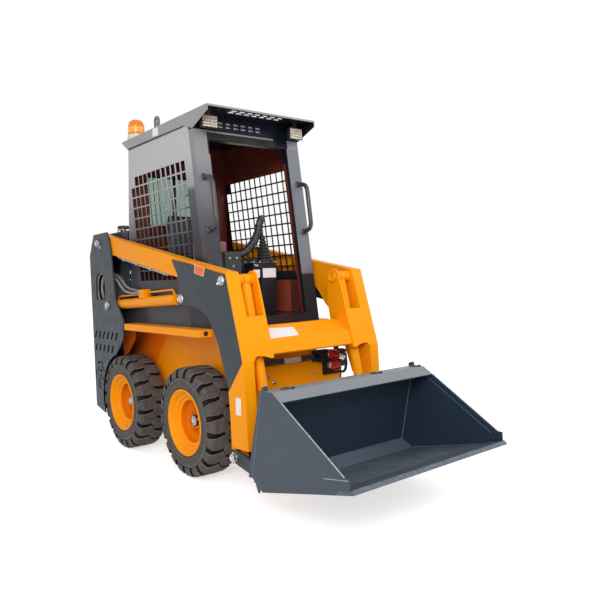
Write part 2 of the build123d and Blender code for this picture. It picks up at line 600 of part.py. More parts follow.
handles = []
for _, side in SIDES:
    y = side * 350
    run = [(front_x(1760) - 8, y, 1760), (front_x(1760) + 95, y, 1755), (front_x(1450) + 85, y, 1465),
           (front_x(1450) - 8, y, 1450)]
    handles.append(tube(eased(run, 45), HANDLE_R) - front_frame)
keep("grab_handles", *handles)

keep("seat", block(-200, 260, -230, 230, SEAT_BOX_TOP + SOFT_GAP, 1290),
     block(-260, -200 - SOFT_GAP, -230, 230, SEAT_BOX_TOP + SOFT_GAP, 1640))
keep("seat_box", block(-380, 230, -220, 220, CAB_FLOOR_Z, SEAT_BOX_TOP))
CONSOLE_TOP = 1255
keep("console", slab([(122, CAB_FLOOR_Z), (200, CAB_FLOOR_Z), (214, CONSOLE_TOP), (90, CONSOLE_TOP)], 400, 500, "x"))
levers = [bar((450, 150, CONSOLE_TOP), (450, 150, 1330), 34), bar((450, 150, 1330), (450, 120, 1560), 13),
          block(350, 470, -185, -65, 1195, 1330), block(390, 430, -145, -105, CAB_FLOOR_Z, 1195)]
keep("control_levers", *levers)

# ---------------------------------------------------------------- arms
ARM_BELLY = ((LIFT_PIN[0] + 247, 1356), (401, 1182))
arm_outline = (arc_points(LIFT_PIN, 72, 80, 250, 9)
               + [*ARM_BELLY, (548, 1155, 60), (645, 1060, 60), (700, 985), (760, 935), (850, 783),
                  (908, 628), (933, 567), (1083, 740), (952, 1197), (518, 1277), (LIFT_PIN[0] + 209, 1485)])
ELBOW = (1083, 740)
LEG_TOP = (952, 1197)
LEG_TIP = (933, 567)
ELBOW_LAP = 6
ELBOW_SETBACK = 16
lower_leg = [LEG_TIP, (951, 277), (1100, 281), ELBOW, along(ELBOW, LEG_TOP, ELBOW_LAP),
             beside(ELBOW, LEG_TOP, ELBOW_LAP, -LEG_FRONT_T), along(ELBOW, LEG_TIP, ELBOW_SETBACK)]
TILT_BOSS_R = 32
inner_plate = [(860, 1000)] + arc_points(TILT_TOP_PIN, 48, 190, 20, 8) + [ELBOW, (945, 740), (880, 900)]
notch_foot = ELBOW[1] - 30
cover_notch = [(305, notch_foot), (305, ELBOW[1] - 2), (345, ELBOW[1] + 12), (390, ELBOW[1] + 18), (420, ELBOW[1] + 6),
               (432, ELBOW[1] - 2), (432, notch_foot)]
front_strip = bent_sheet([LEG_TOP, ELBOW], LEG_FRONT_T)
cover = bent_sheet([along(LEG_TOP, ELBOW, 244), ELBOW], LEG_FRONT_T)
tongue = [(955, 420), (1035, 420)] + [(BUCKET_PIN[0] + 42, BUCKET_PIN[1])] + arc_points(BUCKET_PIN, 42, -20, -160, 7) \
    + [(BUCKET_PIN[0] - 42, BUCKET_PIN[1])]
TONGUE_Y = (432, 462)
for side_name, side in SIDES:
    tilt_pin_bore = [(*TILT_TOP_PIN, PIN_R + RUN_FIT)]
    beam = side_slab(arm_outline, side, ARM_IN_Y, ARM_OUT_Y,
                     rounds=[(*LIFT_PIN, PIN_R + RUN_FIT), (*TILT_TOP_PIN, PIN_R + RUN_FIT)])
    lower = side_slab(lower_leg, side, LOWER_LEG_IN_Y, LOWER_LEG_OUT_Y)
    inner = side_slab(inner_plate, side, LEG_IN_Y, LEG_IN_Y + LEG_PLATE_T, rounds=tilt_pin_bore)
    notch = slab([(side * y, z) for y, z in cover_notch], ELBOW[0] - 60, ELBOW[0] + 30, "x")
    front = side_slab(cover, side, LEG_IN_Y, LOWER_LEG_OUT_Y) - notch
    boss_ring = arc_points(TILT_TOP_PIN, TILT_BOSS_R, 0, 345, 24)
    bosses = [side_slab(boss_ring, side, near, far, rounds=tilt_pin_bore)
              for near, far in ((LEG_IN_Y + LEG_PLATE_T, TILT_CYL_Y - EYE_W / 2 - 5),
                                (TILT_CYL_Y + EYE_W / 2 + 5, ARM_IN_Y))]
    strip = side_slab(front_strip, side, LOWER_LEG_IN_Y, LOWER_LEG_OUT_Y)
    end = side_slab(tongue, side, *TONGUE_Y, rounds=[(*BUCKET_PIN, PIN_R + RUN_FIT)])
    lug = side_slab([(400, 1190), (504, 1175), (ROD_PIN[0] + 38, ROD_PIN[1]), (ROD_PIN[0] + 20, ROD_PIN[1] - 34),
                     (ROD_PIN[0] - 20, ROD_PIN[1] - 34), (ROD_PIN[0] - 38, ROD_PIN[1])],
                    side, ARM_IN_Y - 10, ARM_IN_Y)
    keep(f"arm_{side_name}", beam.fuse(lower, inner, front, strip, end, lug, *bosses).clean())

plate_outline = [(348, 1290), (415, 1194), (420, 1020), (554, 1017), (666, 993), (749, 951), (787, 904), (823, 835),
                 (850, 783), (908, 628), LEG_TIP, along(ELBOW, LEG_TIP, ELBOW_SETBACK), beside(LEG_TOP, ELBOW, 12, LEG_FRONT_T + 0.5),
                 (518, 1262)]
keep("arm_plates", *[side_slab(plate_outline, side, ARM_OUT_Y, ARM_OUT_Y + ARM_PLATE_T,
                               rounds=[(*TILT_TOP_PIN, PIN_R + RUN_FIT), (*ROD_PIN, PIN_R + RUN_FIT)])
                     for _, side in SIDES])

crossbeam = slab([(950, 903), (1050, 833), (1070, 760), (1060, 752), (968, 752), (940, 880)], -LEG_IN_Y, LEG_IN_Y)
keep("arm_crossbeam", crossbeam)

arm_pins = []
plate_out_y = ARM_OUT_Y + ARM_PLATE_T
for _, side in SIDES:
    arm_pins.append(cross_bar(TILT_TOP_PIN, side, LEG_IN_Y - 6, plate_out_y, PIN_R)
                    + cross_bar(TILT_TOP_PIN, side, plate_out_y, plate_out_y + PIN_HEAD_T, PIN_HEAD_R))
    arm_pins.append(cross_bar(ROD_PIN, side, ARM_OUT_Y, plate_out_y, PIN_R)
                    + cross_bar(ROD_PIN, side, plate_out_y, plate_out_y + PIN_HEAD_T, PIN_HEAD_R))
keep("arm_pins", *arm_pins)


# ---------------------------------------------------------------- cylinders
def cylinder(base, head, y, barrel_r, barrel_end, rod_tail):
    """Barrel with its base eye, and rod with its head eye, at rest."""
    def spot(place):
        return (place[0], y, place[1])

    half = EYE_W / 2
    span = hypot(head[0] - base[0], head[1] - base[1])
    barrel = bar(spot(along(base, head, BARREL_START)), spot(along(base, head, barrel_end)), barrel_r)
    eye = bar((base[0], y - half, base[1]), (base[0], y + half, base[1]), EYE_R)
    neck = bar(spot(along(base, head, EYE_R - 6)), spot(along(base, head, BARREL_START + 2)), TILT_BARREL_R - 4)
    barrel = barrel.fuse(eye, neck)
    barrel = barrel - bar((base[0], y - half - 1, base[1]), (base[0], y + half + 1, base[1]), PIN_R + RUN_FIT)
    barrel = barrel - bar(spot(along(base, head, BARREL_START + 14)), spot(along(base, head, barrel_end + 5)),
                          ROD_R + RUN_FIT)
    rod = bar(spot(along(base, head, rod_tail)), spot(along(base, head, span - EYE_R + 6)), ROD_R)
    rod = rod.fuse(bar((head[0], y - half, head[1]), (head[0], y + half, head[1]), EYE_R),
                   bar((head[0], y - half - 5, head[1]), (head[0], y + half + 5, head[1]), PIN_R))
    return barrel.clean(), rod.clean()


PORT_AT = 506           # middle of the lift cylinder's port block, from its base pin
PORT_TOP = 84           # over the barrel's axis


def lift_spot(distance, rise, y):
    """Point beside the lift cylinder's axis."""
    x, z = beside(BARREL_PIN, ROD_PIN, distance, -rise)
    return (x, y, z)


def with_ports(barrel, y):
    """The lift barrel with its port block and the pipe that feeds its far end."""
    low, high = LIFT_BARREL_R - 4, PORT_TOP
    corners = [beside(BARREL_PIN, ROD_PIN, d, -rise) for d, rise in
               ((PORT_AT - 40, low), (PORT_AT + 40, low), (PORT_AT + 40, high), (PORT_AT - 40, high))]
    port = slab(corners, y - 24, y + 24)
    pipe = tube(eased([lift_spot(PORT_AT + 38, 62, y), lift_spot(LIFT_BARREL_END - 40, 62, y),
                       lift_spot(LIFT_BARREL_END - 18, LIFT_BARREL_R - 3, y)], 20), PIPE_R)
    back_pipe = tube(eased([lift_spot(PORT_AT - 38, 56, y), lift_spot(90, 56, y),
                            lift_spot(66, LIFT_BARREL_R - 3, y)], 20), PIPE_R)
    return barrel.fuse(port, pipe, back_pipe)


for side_name, side in SIDES:
    # job, base pin, rod's pin, |y| of the axis, barrel's radius and open end, rod's inner end
    for job, base, head, y, r, barrel_end, rod_tail in (
            ("lift", BARREL_PIN, ROD_PIN, LIFT_CYL_Y, LIFT_BARREL_R, LIFT_BARREL_END, LIFT_ROD_TAIL),
            ("tilt", TILT_TOP_PIN, TILT_ROD_PIN, TILT_CYL_Y, TILT_BARREL_R, TILT_BARREL_END, TILT_ROD_TAIL)):
        barrel, rod = cylinder(base, head, side * y, r, barrel_end, rod_tail)
        if job == "lift":
            barrel = with_ports(barrel, side * y)
        keep(f"{job}_barrel_{side_name}", barrel)
        keep(f"{job}_rod_{side_name}", rod)

# Two hoses go from each port block up and back, and down behind the tower's window.
# distance along the barrel from its pin, height over its axis, |y|
LINE_ROUTES = (
    ((PORT_AT - 40, 72, 428), (PORT_AT - 75, 72, 428), (366, 84, 428), (216, 104, 428), (84, 200, 430), (-50, 246, 446),
     (-140, 205, 462), (-158, 120, 466), (-152, 55, 458), (-196, 12, 438)),
    ((PORT_AT - 40, 68, 452), (PORT_AT - 75, 68, 452), (366, 66, 452), (216, 84, 452), (84, 186, 454), (-80, 254, 460),
     (-215, 225, 467), (-243, 120, 467), (-226, 50, 464), (-176, 12, 466)))
for side_name, side in SIDES:
    lines = [tube(eased([lift_spot(d, rise, side * y) for d, rise, y in route], 60), LINE_R) for route in LINE_ROUTES]
    keep(f"lift_hoses_{side_name}", *lines)

# Steel pipes run under each beam and turn up into it, in clips.
PIPE_DROP = 12
pipes = []
for _, side in SIDES:
    group = []
    for y in (ARM_IN_Y + 20, ARM_OUT_Y - 20):
        run = [beside(*ARM_BELLY, *spot) for spot in ((30, 0), (30, PIPE_DROP), (780, PIPE_DROP), (780, 0))]
        group.append(tube(eased([(x, side * y, z) for x, z in run], 5), PIPE_R))
    for start in (120, 330, 540, 740):
        clip = [beside(*ARM_BELLY, *spot) for spot in ((start, 0), (start + 18, 0), (start + 18, 20), (start, 20))]
        group.append(side_slab(clip, side, ARM_IN_Y + 10, ARM_OUT_Y - 10))
    pipes.append(group[0].fuse(*group[1:]).clean())
keep("arm_pipes", *pipes)

# ---------------------------------------------------------------- bucket
BUCKET_TOP_REAR = (1304, 624)
BUCKET_TOP_FRONT = (1389, 626)
BUCKET_LIP = (1454, 587)
BUCKET_SLOPE_END = (1868, 334)
BUCKET_HEEL = (1284, 130)
BUCKET_CORNER = (1205, 180)
BUCKET_TIP = (1924, 275)


floor_end = along(BUCKET_TIP, BUCKET_HEEL, EDGE_W)
edge_top = beside(BUCKET_TIP, BUCKET_HEEL, EDGE_W, EDGE_T)
shell = slab(bent_sheet([floor_end, BUCKET_HEEL, BUCKET_CORNER, BUCKET_TOP_REAR, BUCKET_TOP_FRONT, BUCKET_LIP],
                        BUCKET_T), -BUCKET_Y + BUCKET_T, BUCKET_Y - BUCKET_T)
cheek = [BUCKET_LIP, BUCKET_TOP_FRONT, BUCKET_TOP_REAR, BUCKET_CORNER, BUCKET_HEEL, floor_end, edge_top,
         beside(BUCKET_TIP, BUCKET_HEEL, 22, EDGE_T), (1897, 333), BUCKET_SLOPE_END]
CHEEK_Y = BUCKET_Y - 2
cheeks = [side_slab(cheek, side, BUCKET_Y - BUCKET_T, CHEEK_Y) for _, side in SIDES]
# a folded strip stands behind each cheek, and a wear plate lies on its front foot
back_strip = [along(BUCKET_CORNER, BUCKET_TOP_REAR, 446), (1281, 613), (1193, 311), (1160, 176), BUCKET_CORNER]
strips = [side_slab(back_strip, side, CARRIER_Y + 3, CHEEK_Y - 6) for _, side in SIDES]
foot_plate = [floor_end, edge_top, beside(BUCKET_TIP, BUCKET_HEEL, 22, EDGE_T), (1892, 326), (1748, 304),
              along(BUCKET_TIP, BUCKET_HEEL, 178)]
feet = [side_slab(foot_plate, side, CHEEK_Y, BUCKET_Y) for _, side in SIDES]
keep("bucket_shell", shell.fuse(*cheeks, *strips, *feet).clean())
keep("cutting_edge", slab([BUCKET_TIP, beside(BUCKET_TIP, BUCKET_HEEL, 14, EDGE_T), edge_top, floor_end],
                          -BUCKET_Y, BUCKET_Y))


def on_back(distance, behind):
    """Side-view point behind the bucket's back plate, measured up it from its lower corner."""
    return beside(BUCKET_CORNER, BUCKET_TOP_REAR, distance, -behind)


carrier = [slab([on_back(0, 0), on_back(340, 0), on_back(340, CARRIER_T), on_back(0, CARRIER_T)],
                -CARRIER_Y, CARRIER_Y)]
side_lug = ([on_back(95, 4), on_back(8, 4), (BUCKET_PIN[0] + 120, BUCKET_PIN[1] - 62)]
            + arc_points(BUCKET_PIN, LUG_R, 265, 85, 9) + [(BUCKET_PIN[0] + 134, BUCKET_PIN[1] + 8)])
tilt_lug = ([on_back(325, 4), on_back(60, 4), (TILT_ROD_PIN[0] + 10, TILT_ROD_PIN[1] - 120)]
            + arc_points(TILT_ROD_PIN, LUG_R, 200, 70, 7))
for _, side in SIDES:
    for near, far in ((ARM_IN_Y, TONGUE_Y[0] - SIDE_GAP), (TONGUE_Y[1] + SIDE_GAP, CARRIER_Y - 3)):
        carrier.append(side_slab(side_lug, side, near, far, rounds=[(*BUCKET_PIN, PIN_R + RUN_FIT)]))
    for near, far in ((TILT_SLOT_Y[0] - TILT_LUG_T, TILT_SLOT_Y[0]), (TILT_SLOT_Y[1], TILT_SLOT_Y[1] + TILT_LUG_T)):
        carrier.append(side_slab(tilt_lug, side, near, far))
keep("carrier", carrier[0].fuse(*carrier[1:]).clean())
bucket_pins = []
for _, side in SIDES:
    bucket_pins.append(cross_bar(BUCKET_PIN, side, ARM_IN_Y, CARRIER_Y - 3, PIN_R)
                       + cross_bar(BUCKET_PIN, side, CARRIER_Y - 3, CARRIER_Y - 3 + PIN_HEAD_T, PIN_HEAD_R))
keep("bucket_pins", *bucket_pins)

# ---------------------------------------------------------------- auxiliary hydraulics
hose_z = FRONT_PLATE_TOP + HOSE_R + 1
keep("aux_hose", tube(eased([(735, -205, 545), (775, -212, 625), (835, -185, hose_z + 8), (858, -110, hose_z + 5),
                       (860, -10, hose_z), (857, 90, hose_z + 3), (863, 165, hose_z + 6),
                             (863, 205, hose_z + 7)], 40), HOSE_R, 10))
couplers = [block(846, 880, 240, 330, 640, 720)]
for z in (664, 700):
    couplers.append(bar((863, 206, z), (863, 240, z), 15))
    couplers.append(bar((863, 330, z), (863, 352, z), 17))
keep("aux_couplers", couplers[0].fuse(*couplers[1:]).clean())

MACHINE_REAR_X = hinge_x - KNUCKLE_R
MIDDLE_X = (BUCKET_TIP[0] + MACHINE_REAR_X) / 2

os.makedirs("parts", exist_ok=True)
for name, shapes in parts.items():
    solids = [Pos(-MIDDLE_X, 0, 0) * solid for shape in shapes for solid in shape.solids()]
    export_step(solids[0] if len(solids) == 1 else Compound(children=solids), f"parts/{name}.step")
print(len(parts), "pieces, middle at", MIDDLE_X)
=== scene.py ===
"""Looks for the compact skid steer loader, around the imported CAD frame. Metres, +X forward, +Y left, +Z up.

Pieces are drawn in the drawing's millimetres, whose x starts MIDDLE_X behind the frame's. Materials tell places apart
in the frame's own metres.
"""
import json
import math

import bmesh
import bpy
from mathutils import Matrix, Vector

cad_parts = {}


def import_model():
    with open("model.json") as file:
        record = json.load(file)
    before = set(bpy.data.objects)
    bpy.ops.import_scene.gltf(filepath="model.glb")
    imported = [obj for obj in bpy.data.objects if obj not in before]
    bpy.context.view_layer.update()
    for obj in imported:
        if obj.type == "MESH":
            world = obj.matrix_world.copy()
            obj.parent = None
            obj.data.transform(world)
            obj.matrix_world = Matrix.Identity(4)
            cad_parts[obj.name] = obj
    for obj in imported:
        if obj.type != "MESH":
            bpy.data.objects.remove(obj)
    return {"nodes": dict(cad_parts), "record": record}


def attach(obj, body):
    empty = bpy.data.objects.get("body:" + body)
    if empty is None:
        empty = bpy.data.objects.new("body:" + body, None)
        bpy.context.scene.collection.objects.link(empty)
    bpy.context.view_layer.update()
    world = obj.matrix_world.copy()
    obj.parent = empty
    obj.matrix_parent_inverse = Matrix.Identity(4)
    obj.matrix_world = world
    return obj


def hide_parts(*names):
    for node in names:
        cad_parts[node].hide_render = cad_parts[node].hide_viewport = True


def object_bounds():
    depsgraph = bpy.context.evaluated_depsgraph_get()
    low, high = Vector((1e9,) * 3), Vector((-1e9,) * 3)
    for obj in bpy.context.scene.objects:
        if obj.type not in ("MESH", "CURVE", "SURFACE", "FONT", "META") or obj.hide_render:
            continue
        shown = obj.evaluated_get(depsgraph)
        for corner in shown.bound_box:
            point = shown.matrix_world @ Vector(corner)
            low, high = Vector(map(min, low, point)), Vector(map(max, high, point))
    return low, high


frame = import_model()
cad_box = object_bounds()
NODES = frame["nodes"]
SIDES = (("right", -1), ("left", 1))
MM = 0.001
MIDDLE_X = 476.5
CAB_MIDDLE = (-0.38, 0, 1.5)
BUCKET_MIDDLE = (1.02, 0, 0.42)
# the cab's front leans back from this place
FRONT_X = 661
FRONT_Z = 890
LEAN = math.tan(math.radians(8))
# the signs of a rectangle's corners, in order
SQUARE = ((-1, -1), (1, -1), (1, 1), (-1, 1))
# pin places in side view, and the beacon's foot
ARM_PIVOT = (-777, 1456)
LIFT_FOOT = (-636, 1006)
LIFT_TOP = (464, 1056)
TILT_TOP = (915, 1155)
BUCKET_PIN = (976, 230)
BEACON = (-376, -335, 2149)
# strengths of the stage's light
SKY_LIGHT = 0.6
FLOOR_GLOW = 0.62


# ---- colours and materials
def srgb(red, green, blue):
    """A 0 to 255 display colour as the linear values that shaders take."""
    def linear(value):
        value /= 255
        return value / 12.92 if value <= 0.04045 else ((value + 0.055) / 1.055) ** 2.4
    return (linear(red), linear(green), linear(blue), 1.0)


class Shader:
    """A Principled material with short calls for the nodes that feed it. Colours are 0 to 255 display colours."""

    def __init__(self, name, colour, roughness, **sockets):
        self.material = bpy.data.materials.new(name)
        self.material.use_nodes = True
        self.tree = self.material.node_tree
        self.bsdf = self.tree.nodes["Principled BSDF"]
        self.bsdf.inputs["Base Color"].default_value = srgb(*colour)
        self.bsdf.inputs["Roughness"].default_value = roughness
        for socket, value in sockets.items():
            self.bsdf.inputs[socket.replace("_", " ")].default_value = value
        self.coordinates = self.tree.nodes.new("ShaderNodeTexCoord").outputs

    def node(self, kind, inputs, **settings):
        """A new node. inputs gives sockets, by name or number, a value or another node's output."""
        made = self.tree.nodes.new("ShaderNode" + kind)
        for key, value in settings.items():
            setattr(made, key, value)
        for socket, value in inputs.items():
            if hasattr(value, "is_output"):
                self.tree.links.new(value, made.inputs[socket])
            else:
                made.inputs[socket].default_value = value
        return made.outputs

    def feed(self, value, socket):
        """Links an output to a socket of the material's own shader."""
        self.tree.links.new(value, self.bsdf.inputs[socket])

    def noise(self, scale, detail=3, stretch=(1, 1, 1)):
        spread = self.node("Mapping", {"Vector": self.coordinates["Object"], "Scale": stretch})["Vector"]
        return self.node("TexNoise", {"Vector": spread, "Scale": scale, "Detail": detail, "Roughness": 0.55})["Fac"]

    def wave(self, scale, axis):
        inputs = {"Vector": self.coordinates["Object"], "Scale": scale, "Distortion": 0}
        return self.node("TexWave", inputs, bands_direction=axis)["Fac"]

    def ramp(self, value, low, high, start=0.0, end=1.0):
        """value from low..high mapped to start..end, clamped."""
        return self.node("MapRange", dict(enumerate((value, low, high, start, end))))["Result"]

    def math(self, kind, first, second=0.0):
        return self.node("Math", {0: first, 1: second}, operation=kind)["Value"]

    def both(self, *masks):
        """Product of masks."""
        total = masks[0]
        for mask in masks[1:]:
            total = self.math("MULTIPLY", total, mask)
        return total

    def over(self, colour, *masks):
        """Lays colour over the base colour where all masks are 1."""
        base = self.bsdf.inputs["Base Color"]
        start = base.links[0].from_socket if base.is_linked else tuple(base.default_value)
        inputs = {0: self.both(*masks), 6: start, 7: srgb(*colour)}
        self.feed(self.node("Mix", inputs, data_type="RGBA")[2], "Base Color")

    def bump(self, value, distance, strength):
        inputs = {"Distance": distance, "Strength": strength, "Height": value}
        self.feed(self.node("Bump", inputs)["Normal"], "Normal")

    def facing(self, axis="Z", low=0.5, high=0.95):
        """1 where the piece's own surface looks along an axis."""
        return self.ramp(self.place(axis, "Normal"), low, high)

    def place(self, axis, kind="Object"):
        """A coordinate of the piece's own places, or of its surface's direction (Normal)."""
        return self.node("SeparateXYZ", {0: self.coordinates[kind]})[axis]

    def beyond(self, axis, low, high):
        """0 up to low and 1 from high."""
        return self.ramp(self.place(axis), low, high)

    def short_of(self, axis, low, high, most=1):
        """most up to low and 0 from high."""
        return self.ramp(self.place(axis), low, high, most, 0)

    def within(self, axis, low, high, soft=0.002):
        """1 between two places along an axis."""
        spot = self.place(axis)
        return self.both(self.ramp(spot, low - soft, low + soft), self.ramp(spot, high - soft, high + soft, 1, 0))

    def inside(self, middle=CAB_MIDDLE):
        """1 on faces that look towards a point inside the piece."""
        away = self.node("VectorMath", {0: self.coordinates["Object"], 1: middle}, operation="SUBTRACT")["Vector"]
        along = self.node("VectorMath", {0: away, 1: self.coordinates["Normal"]}, operation="DOT_PRODUCT")["Value"]
        return self.ramp(along, -0.01, 0.01, 1, 0)


def enamel(name, colour, shade, roughness, dust=(150, 146, 138), dust_share=0.1, gloss=0.25, speck=0.0):
    """Sprayed machine paint: slight cloudiness, orange peel, and a film of dust on what faces up."""
    made = Shader(name, colour, roughness, Specular_IOR_Level=gloss)
    made.over(shade, made.ramp(made.noise(2.3, 4), 0.35, 0.75, 0, 0.5))
    if speck:
        made.over(dust, made.ramp(made.noise(60, 4), 0.62, 0.72, 0, speck))
    made.over(dust, made.facing(), made.ramp(made.noise(9, 6), 0.4, 0.75, 0, dust_share))
    made.feed(made.ramp(made.noise(14, 5), 0.3, 0.7, roughness - 0.06, roughness + 0.09), "Roughness")
    made.bump(made.noise(420, 2), 0.0004, 0.25)
    return made


def plain(name, colour, roughness, spots, scale, bump=0.0003, **sockets):
    """A material with fine colour spots and grain."""
    made = Shader(name, colour, roughness, **sockets)
    made.over(spots, made.ramp(made.noise(scale, 5), 0.35, 0.7))
    made.feed(made.ramp(made.noise(scale * 2.5, 4), 0.3, 0.7, roughness - 0.08, roughness + 0.1), "Roughness")
    made.bump(made.noise(scale * 12, 3), bump, 0.4)
    return made.material


def bucket_paint():
    """Blue-grey outside, with painted shade inside, a painted light on the inside's floor, worn to bare streaks on the
    floor, and a painted highlight along the lip.
    """
    made = enamel("bucket_enamel", (64, 74, 84), (57, 67, 77), 0.4, dust_share=0.16)
    inner = made.both(made.inside(BUCKET_MIDDLE), made.within("Y", -0.533, 0.533, 0.001))
    # painted shade: the bucket's inside darker than its paint
    made.over((42, 56, 71), inner)
    low = made.short_of("Z", 0.3, 0.32)
    # painted light: the inside's floor, which faces up, paler than the rest of the inside
    made.over((84, 98, 112), inner, made.facing("Z", 0.3, 0.5), low)
    worn = made.both(inner, made.facing("Z", 0.8, 0.95), low)
    made.over((112, 112, 112), worn, made.ramp(made.noise(7, 7, (0.5, 6, 1)), 0.42, 0.62, 0, 0.75))
    made.over((50, 62, 74), worn, made.ramp(made.noise(18, 6, (0.3, 7, 1)), 0.5, 0.62, 0, 0.8))
    # painted highlight: a paler band on the lip's upward faces
    made.over((128, 133, 139), made.facing("Z", 0.4, 0.8), made.beyond("Z", 0.575, 0.58))
    return made.material


def cab_sheet(name, pale):
    """Grey paint outside, with a reflected sheen that pales upwards, and brown primer inside."""
    made = enamel(name, (68, 69, 76), (62, 63, 70), 0.26, gloss=0.1)
    height = made.math("ADD", made.place("Z"), made.ramp(made.noise(3, 2), 0, 1, -0.1, 0.1))
    made.over((192, 192, 194), made.ramp(height, 1.4, 1.9, 0, pale))
    inner = made.inside()
    made.over(PRIMER, inner)
    made.over((86, 40, 33), inner, made.ramp(made.noise(5, 5), 0.4, 0.7, 0, 0.6))
    return made, inner


def cab_side():
    """Painted shade makes the window's lattice near-black inside; a ribbed sheet lies under it, its ribs drawn as
    stripes of painted highlight; and painted shade darkens the front post.
    """
    made, inner = cab_sheet("cab_side_enamel", 0.9)
    # painted shade: the window's lattice near-black inside the cab
    made.over((34, 26, 25), made.within("X", -0.868, -0.07), made.within("Z", 1.16, 1.884), inner)
    # the ribbed sheet's ribs drawn as pale stripes of painted highlight
    made.over((214, 104, 74), inner, made.within("Z", 0.93, 1.14), made.beyond("X", -0.3, -0.29),
              made.ramp(made.wave(26, "DIAGONAL"), 0.4, 0.6))
    # painted shade low on the outer right side of the front post
    made.over((42, 43, 50), made.beyond("X", -0.1, -0.095), made.short_of("Z", 1.69, 1.72, 0.75),
              made.facing("Y", -0.5, -0.9))
    return made.material


def cab_frame():
    """Painted shade on the leaning front's inner side, header and sill, and a painted highlight up the left post."""
    made, inner = cab_sheet("cab_frame_enamel", 0.42)
    depth = made.math("ADD", made.place("X"), made.math("MULTIPLY", made.place("Z"), LEAN))
    front = (FRONT_X - MIDDLE_X + FRONT_Z * LEAN) * MM
    # painted shade on the inner side of the leaning front
    made.over((34, 31, 34), inner, made.ramp(depth, front - 0.03, front - 0.028))
    # painted shade: dark navy under the roof's edge, and dark bands along the header under the visor
    made.over(SHADE_NAVY, made.beyond("Z", 2.046, 2.047))
    made.over((34, 29, 30), made.within("Y", -0.3, 0.3), made.within("Z", 1.9, 2.034, 0.001))
    made.over((22, 25, 34), made.within("Y", 0.19, 0.3), made.within("Z", 1.9, 2.05, 0.001))
    left_post = made.beyond("Y", 0.25, 0.26)
    # painted highlight up the left post's front face
    made.over((118, 121, 129), left_post, made.facing("X", 0.8, 0.95), made.within("Z", 1.18, 1.99))
    # painted shade at the foot of the left post's front face
    made.over((46, 49, 56), left_post, made.facing("X", 0.5, 0.9), made.short_of("Z", 1.17, 1.19))
    # painted shade along the sill
    made.over((52, 46, 50), made.within("Y", -0.29, 0.29), made.short_of("Z", 0.93, 0.94))
    return made.material


def cab_roof():
    made = enamel("cab_roof_enamel", (150, 148, 146), (140, 139, 138), 0.3, gloss=0.35)
    # painted shade: the roof's inside, the visor's underside, dark navy
    made.over(SHADE_NAVY, made.inside())
    return made.material


def tower():
    """Painted shade makes the inner plates black behind the slots, and the slots' walls black; below the fender the
    inner plates take the hull's orange.
    """
    made = enamel("tower_enamel", (59, 66, 72), (51, 58, 64), 0.4, gloss=0.18, speck=0.05)
    outward = made.math("ABSOLUTE", made.place("Y"))
    inner_plate = made.ramp(outward, 0.4025, 0.4035, 1, 0)
    behind = made.both(inner_plate, made.short_of("X", -1.08, -1.079))
    made.over((204, 88, 12), inner_plate)
    made.over((51, 58, 64), inner_plate, made.beyond("Z", 0.872, 0.876))
    slot_walls = made.both(made.ramp(outward, 0.4788, 0.479), made.ramp(outward, 0.487, 0.4872, 1, 0),
                           made.within("X", -1.425, -0.97), made.within("Z", 0.28, 0.86))
    # painted shade: black behind the slots and on their walls
    made.over((12, 12, 13), made.math("MAXIMUM", behind, slot_walls))
    return made.material


def hull():
    """Painted shade: a deeper orange on the sides behind the fold."""
    made = enamel("hull_enamel", (250, 152, 8), (245, 140, 4), 0.36, (214, 150, 70), 0.1, 0.09)
    fold = made.math("SUBTRACT", made.place("X"), made.math("MULTIPLY", made.place("Z"), 0.93))
    sides = made.math("MAXIMUM", made.facing("Y", 0.5, 0.9), made.facing("Y", -0.5, -0.9))
    # painted shade behind the fold
    made.over((252, 112, 8), sides, made.ramp(fold, -1.386, -1.376, 0.9, 0))
    return made.material


def amber_lens():
    made = Shader("amber_lens", (255, 140, 10), 0.14, Transmission_Weight=0.3, IOR=1.45)
    made.bump(made.wave(60, "Z"), 0.0006, 0.5)
    return made.material


def window_glass():
    made = Shader("window_glass", (150, 176, 163), 0.04, Transmission_Weight=0.8, IOR=1.45)
    made.feed(made.ramp(made.noise(6), 0.3, 0.8, 0.03, 0.12), "Roughness")
    return made.material


PRIMER = (112, 52, 42)
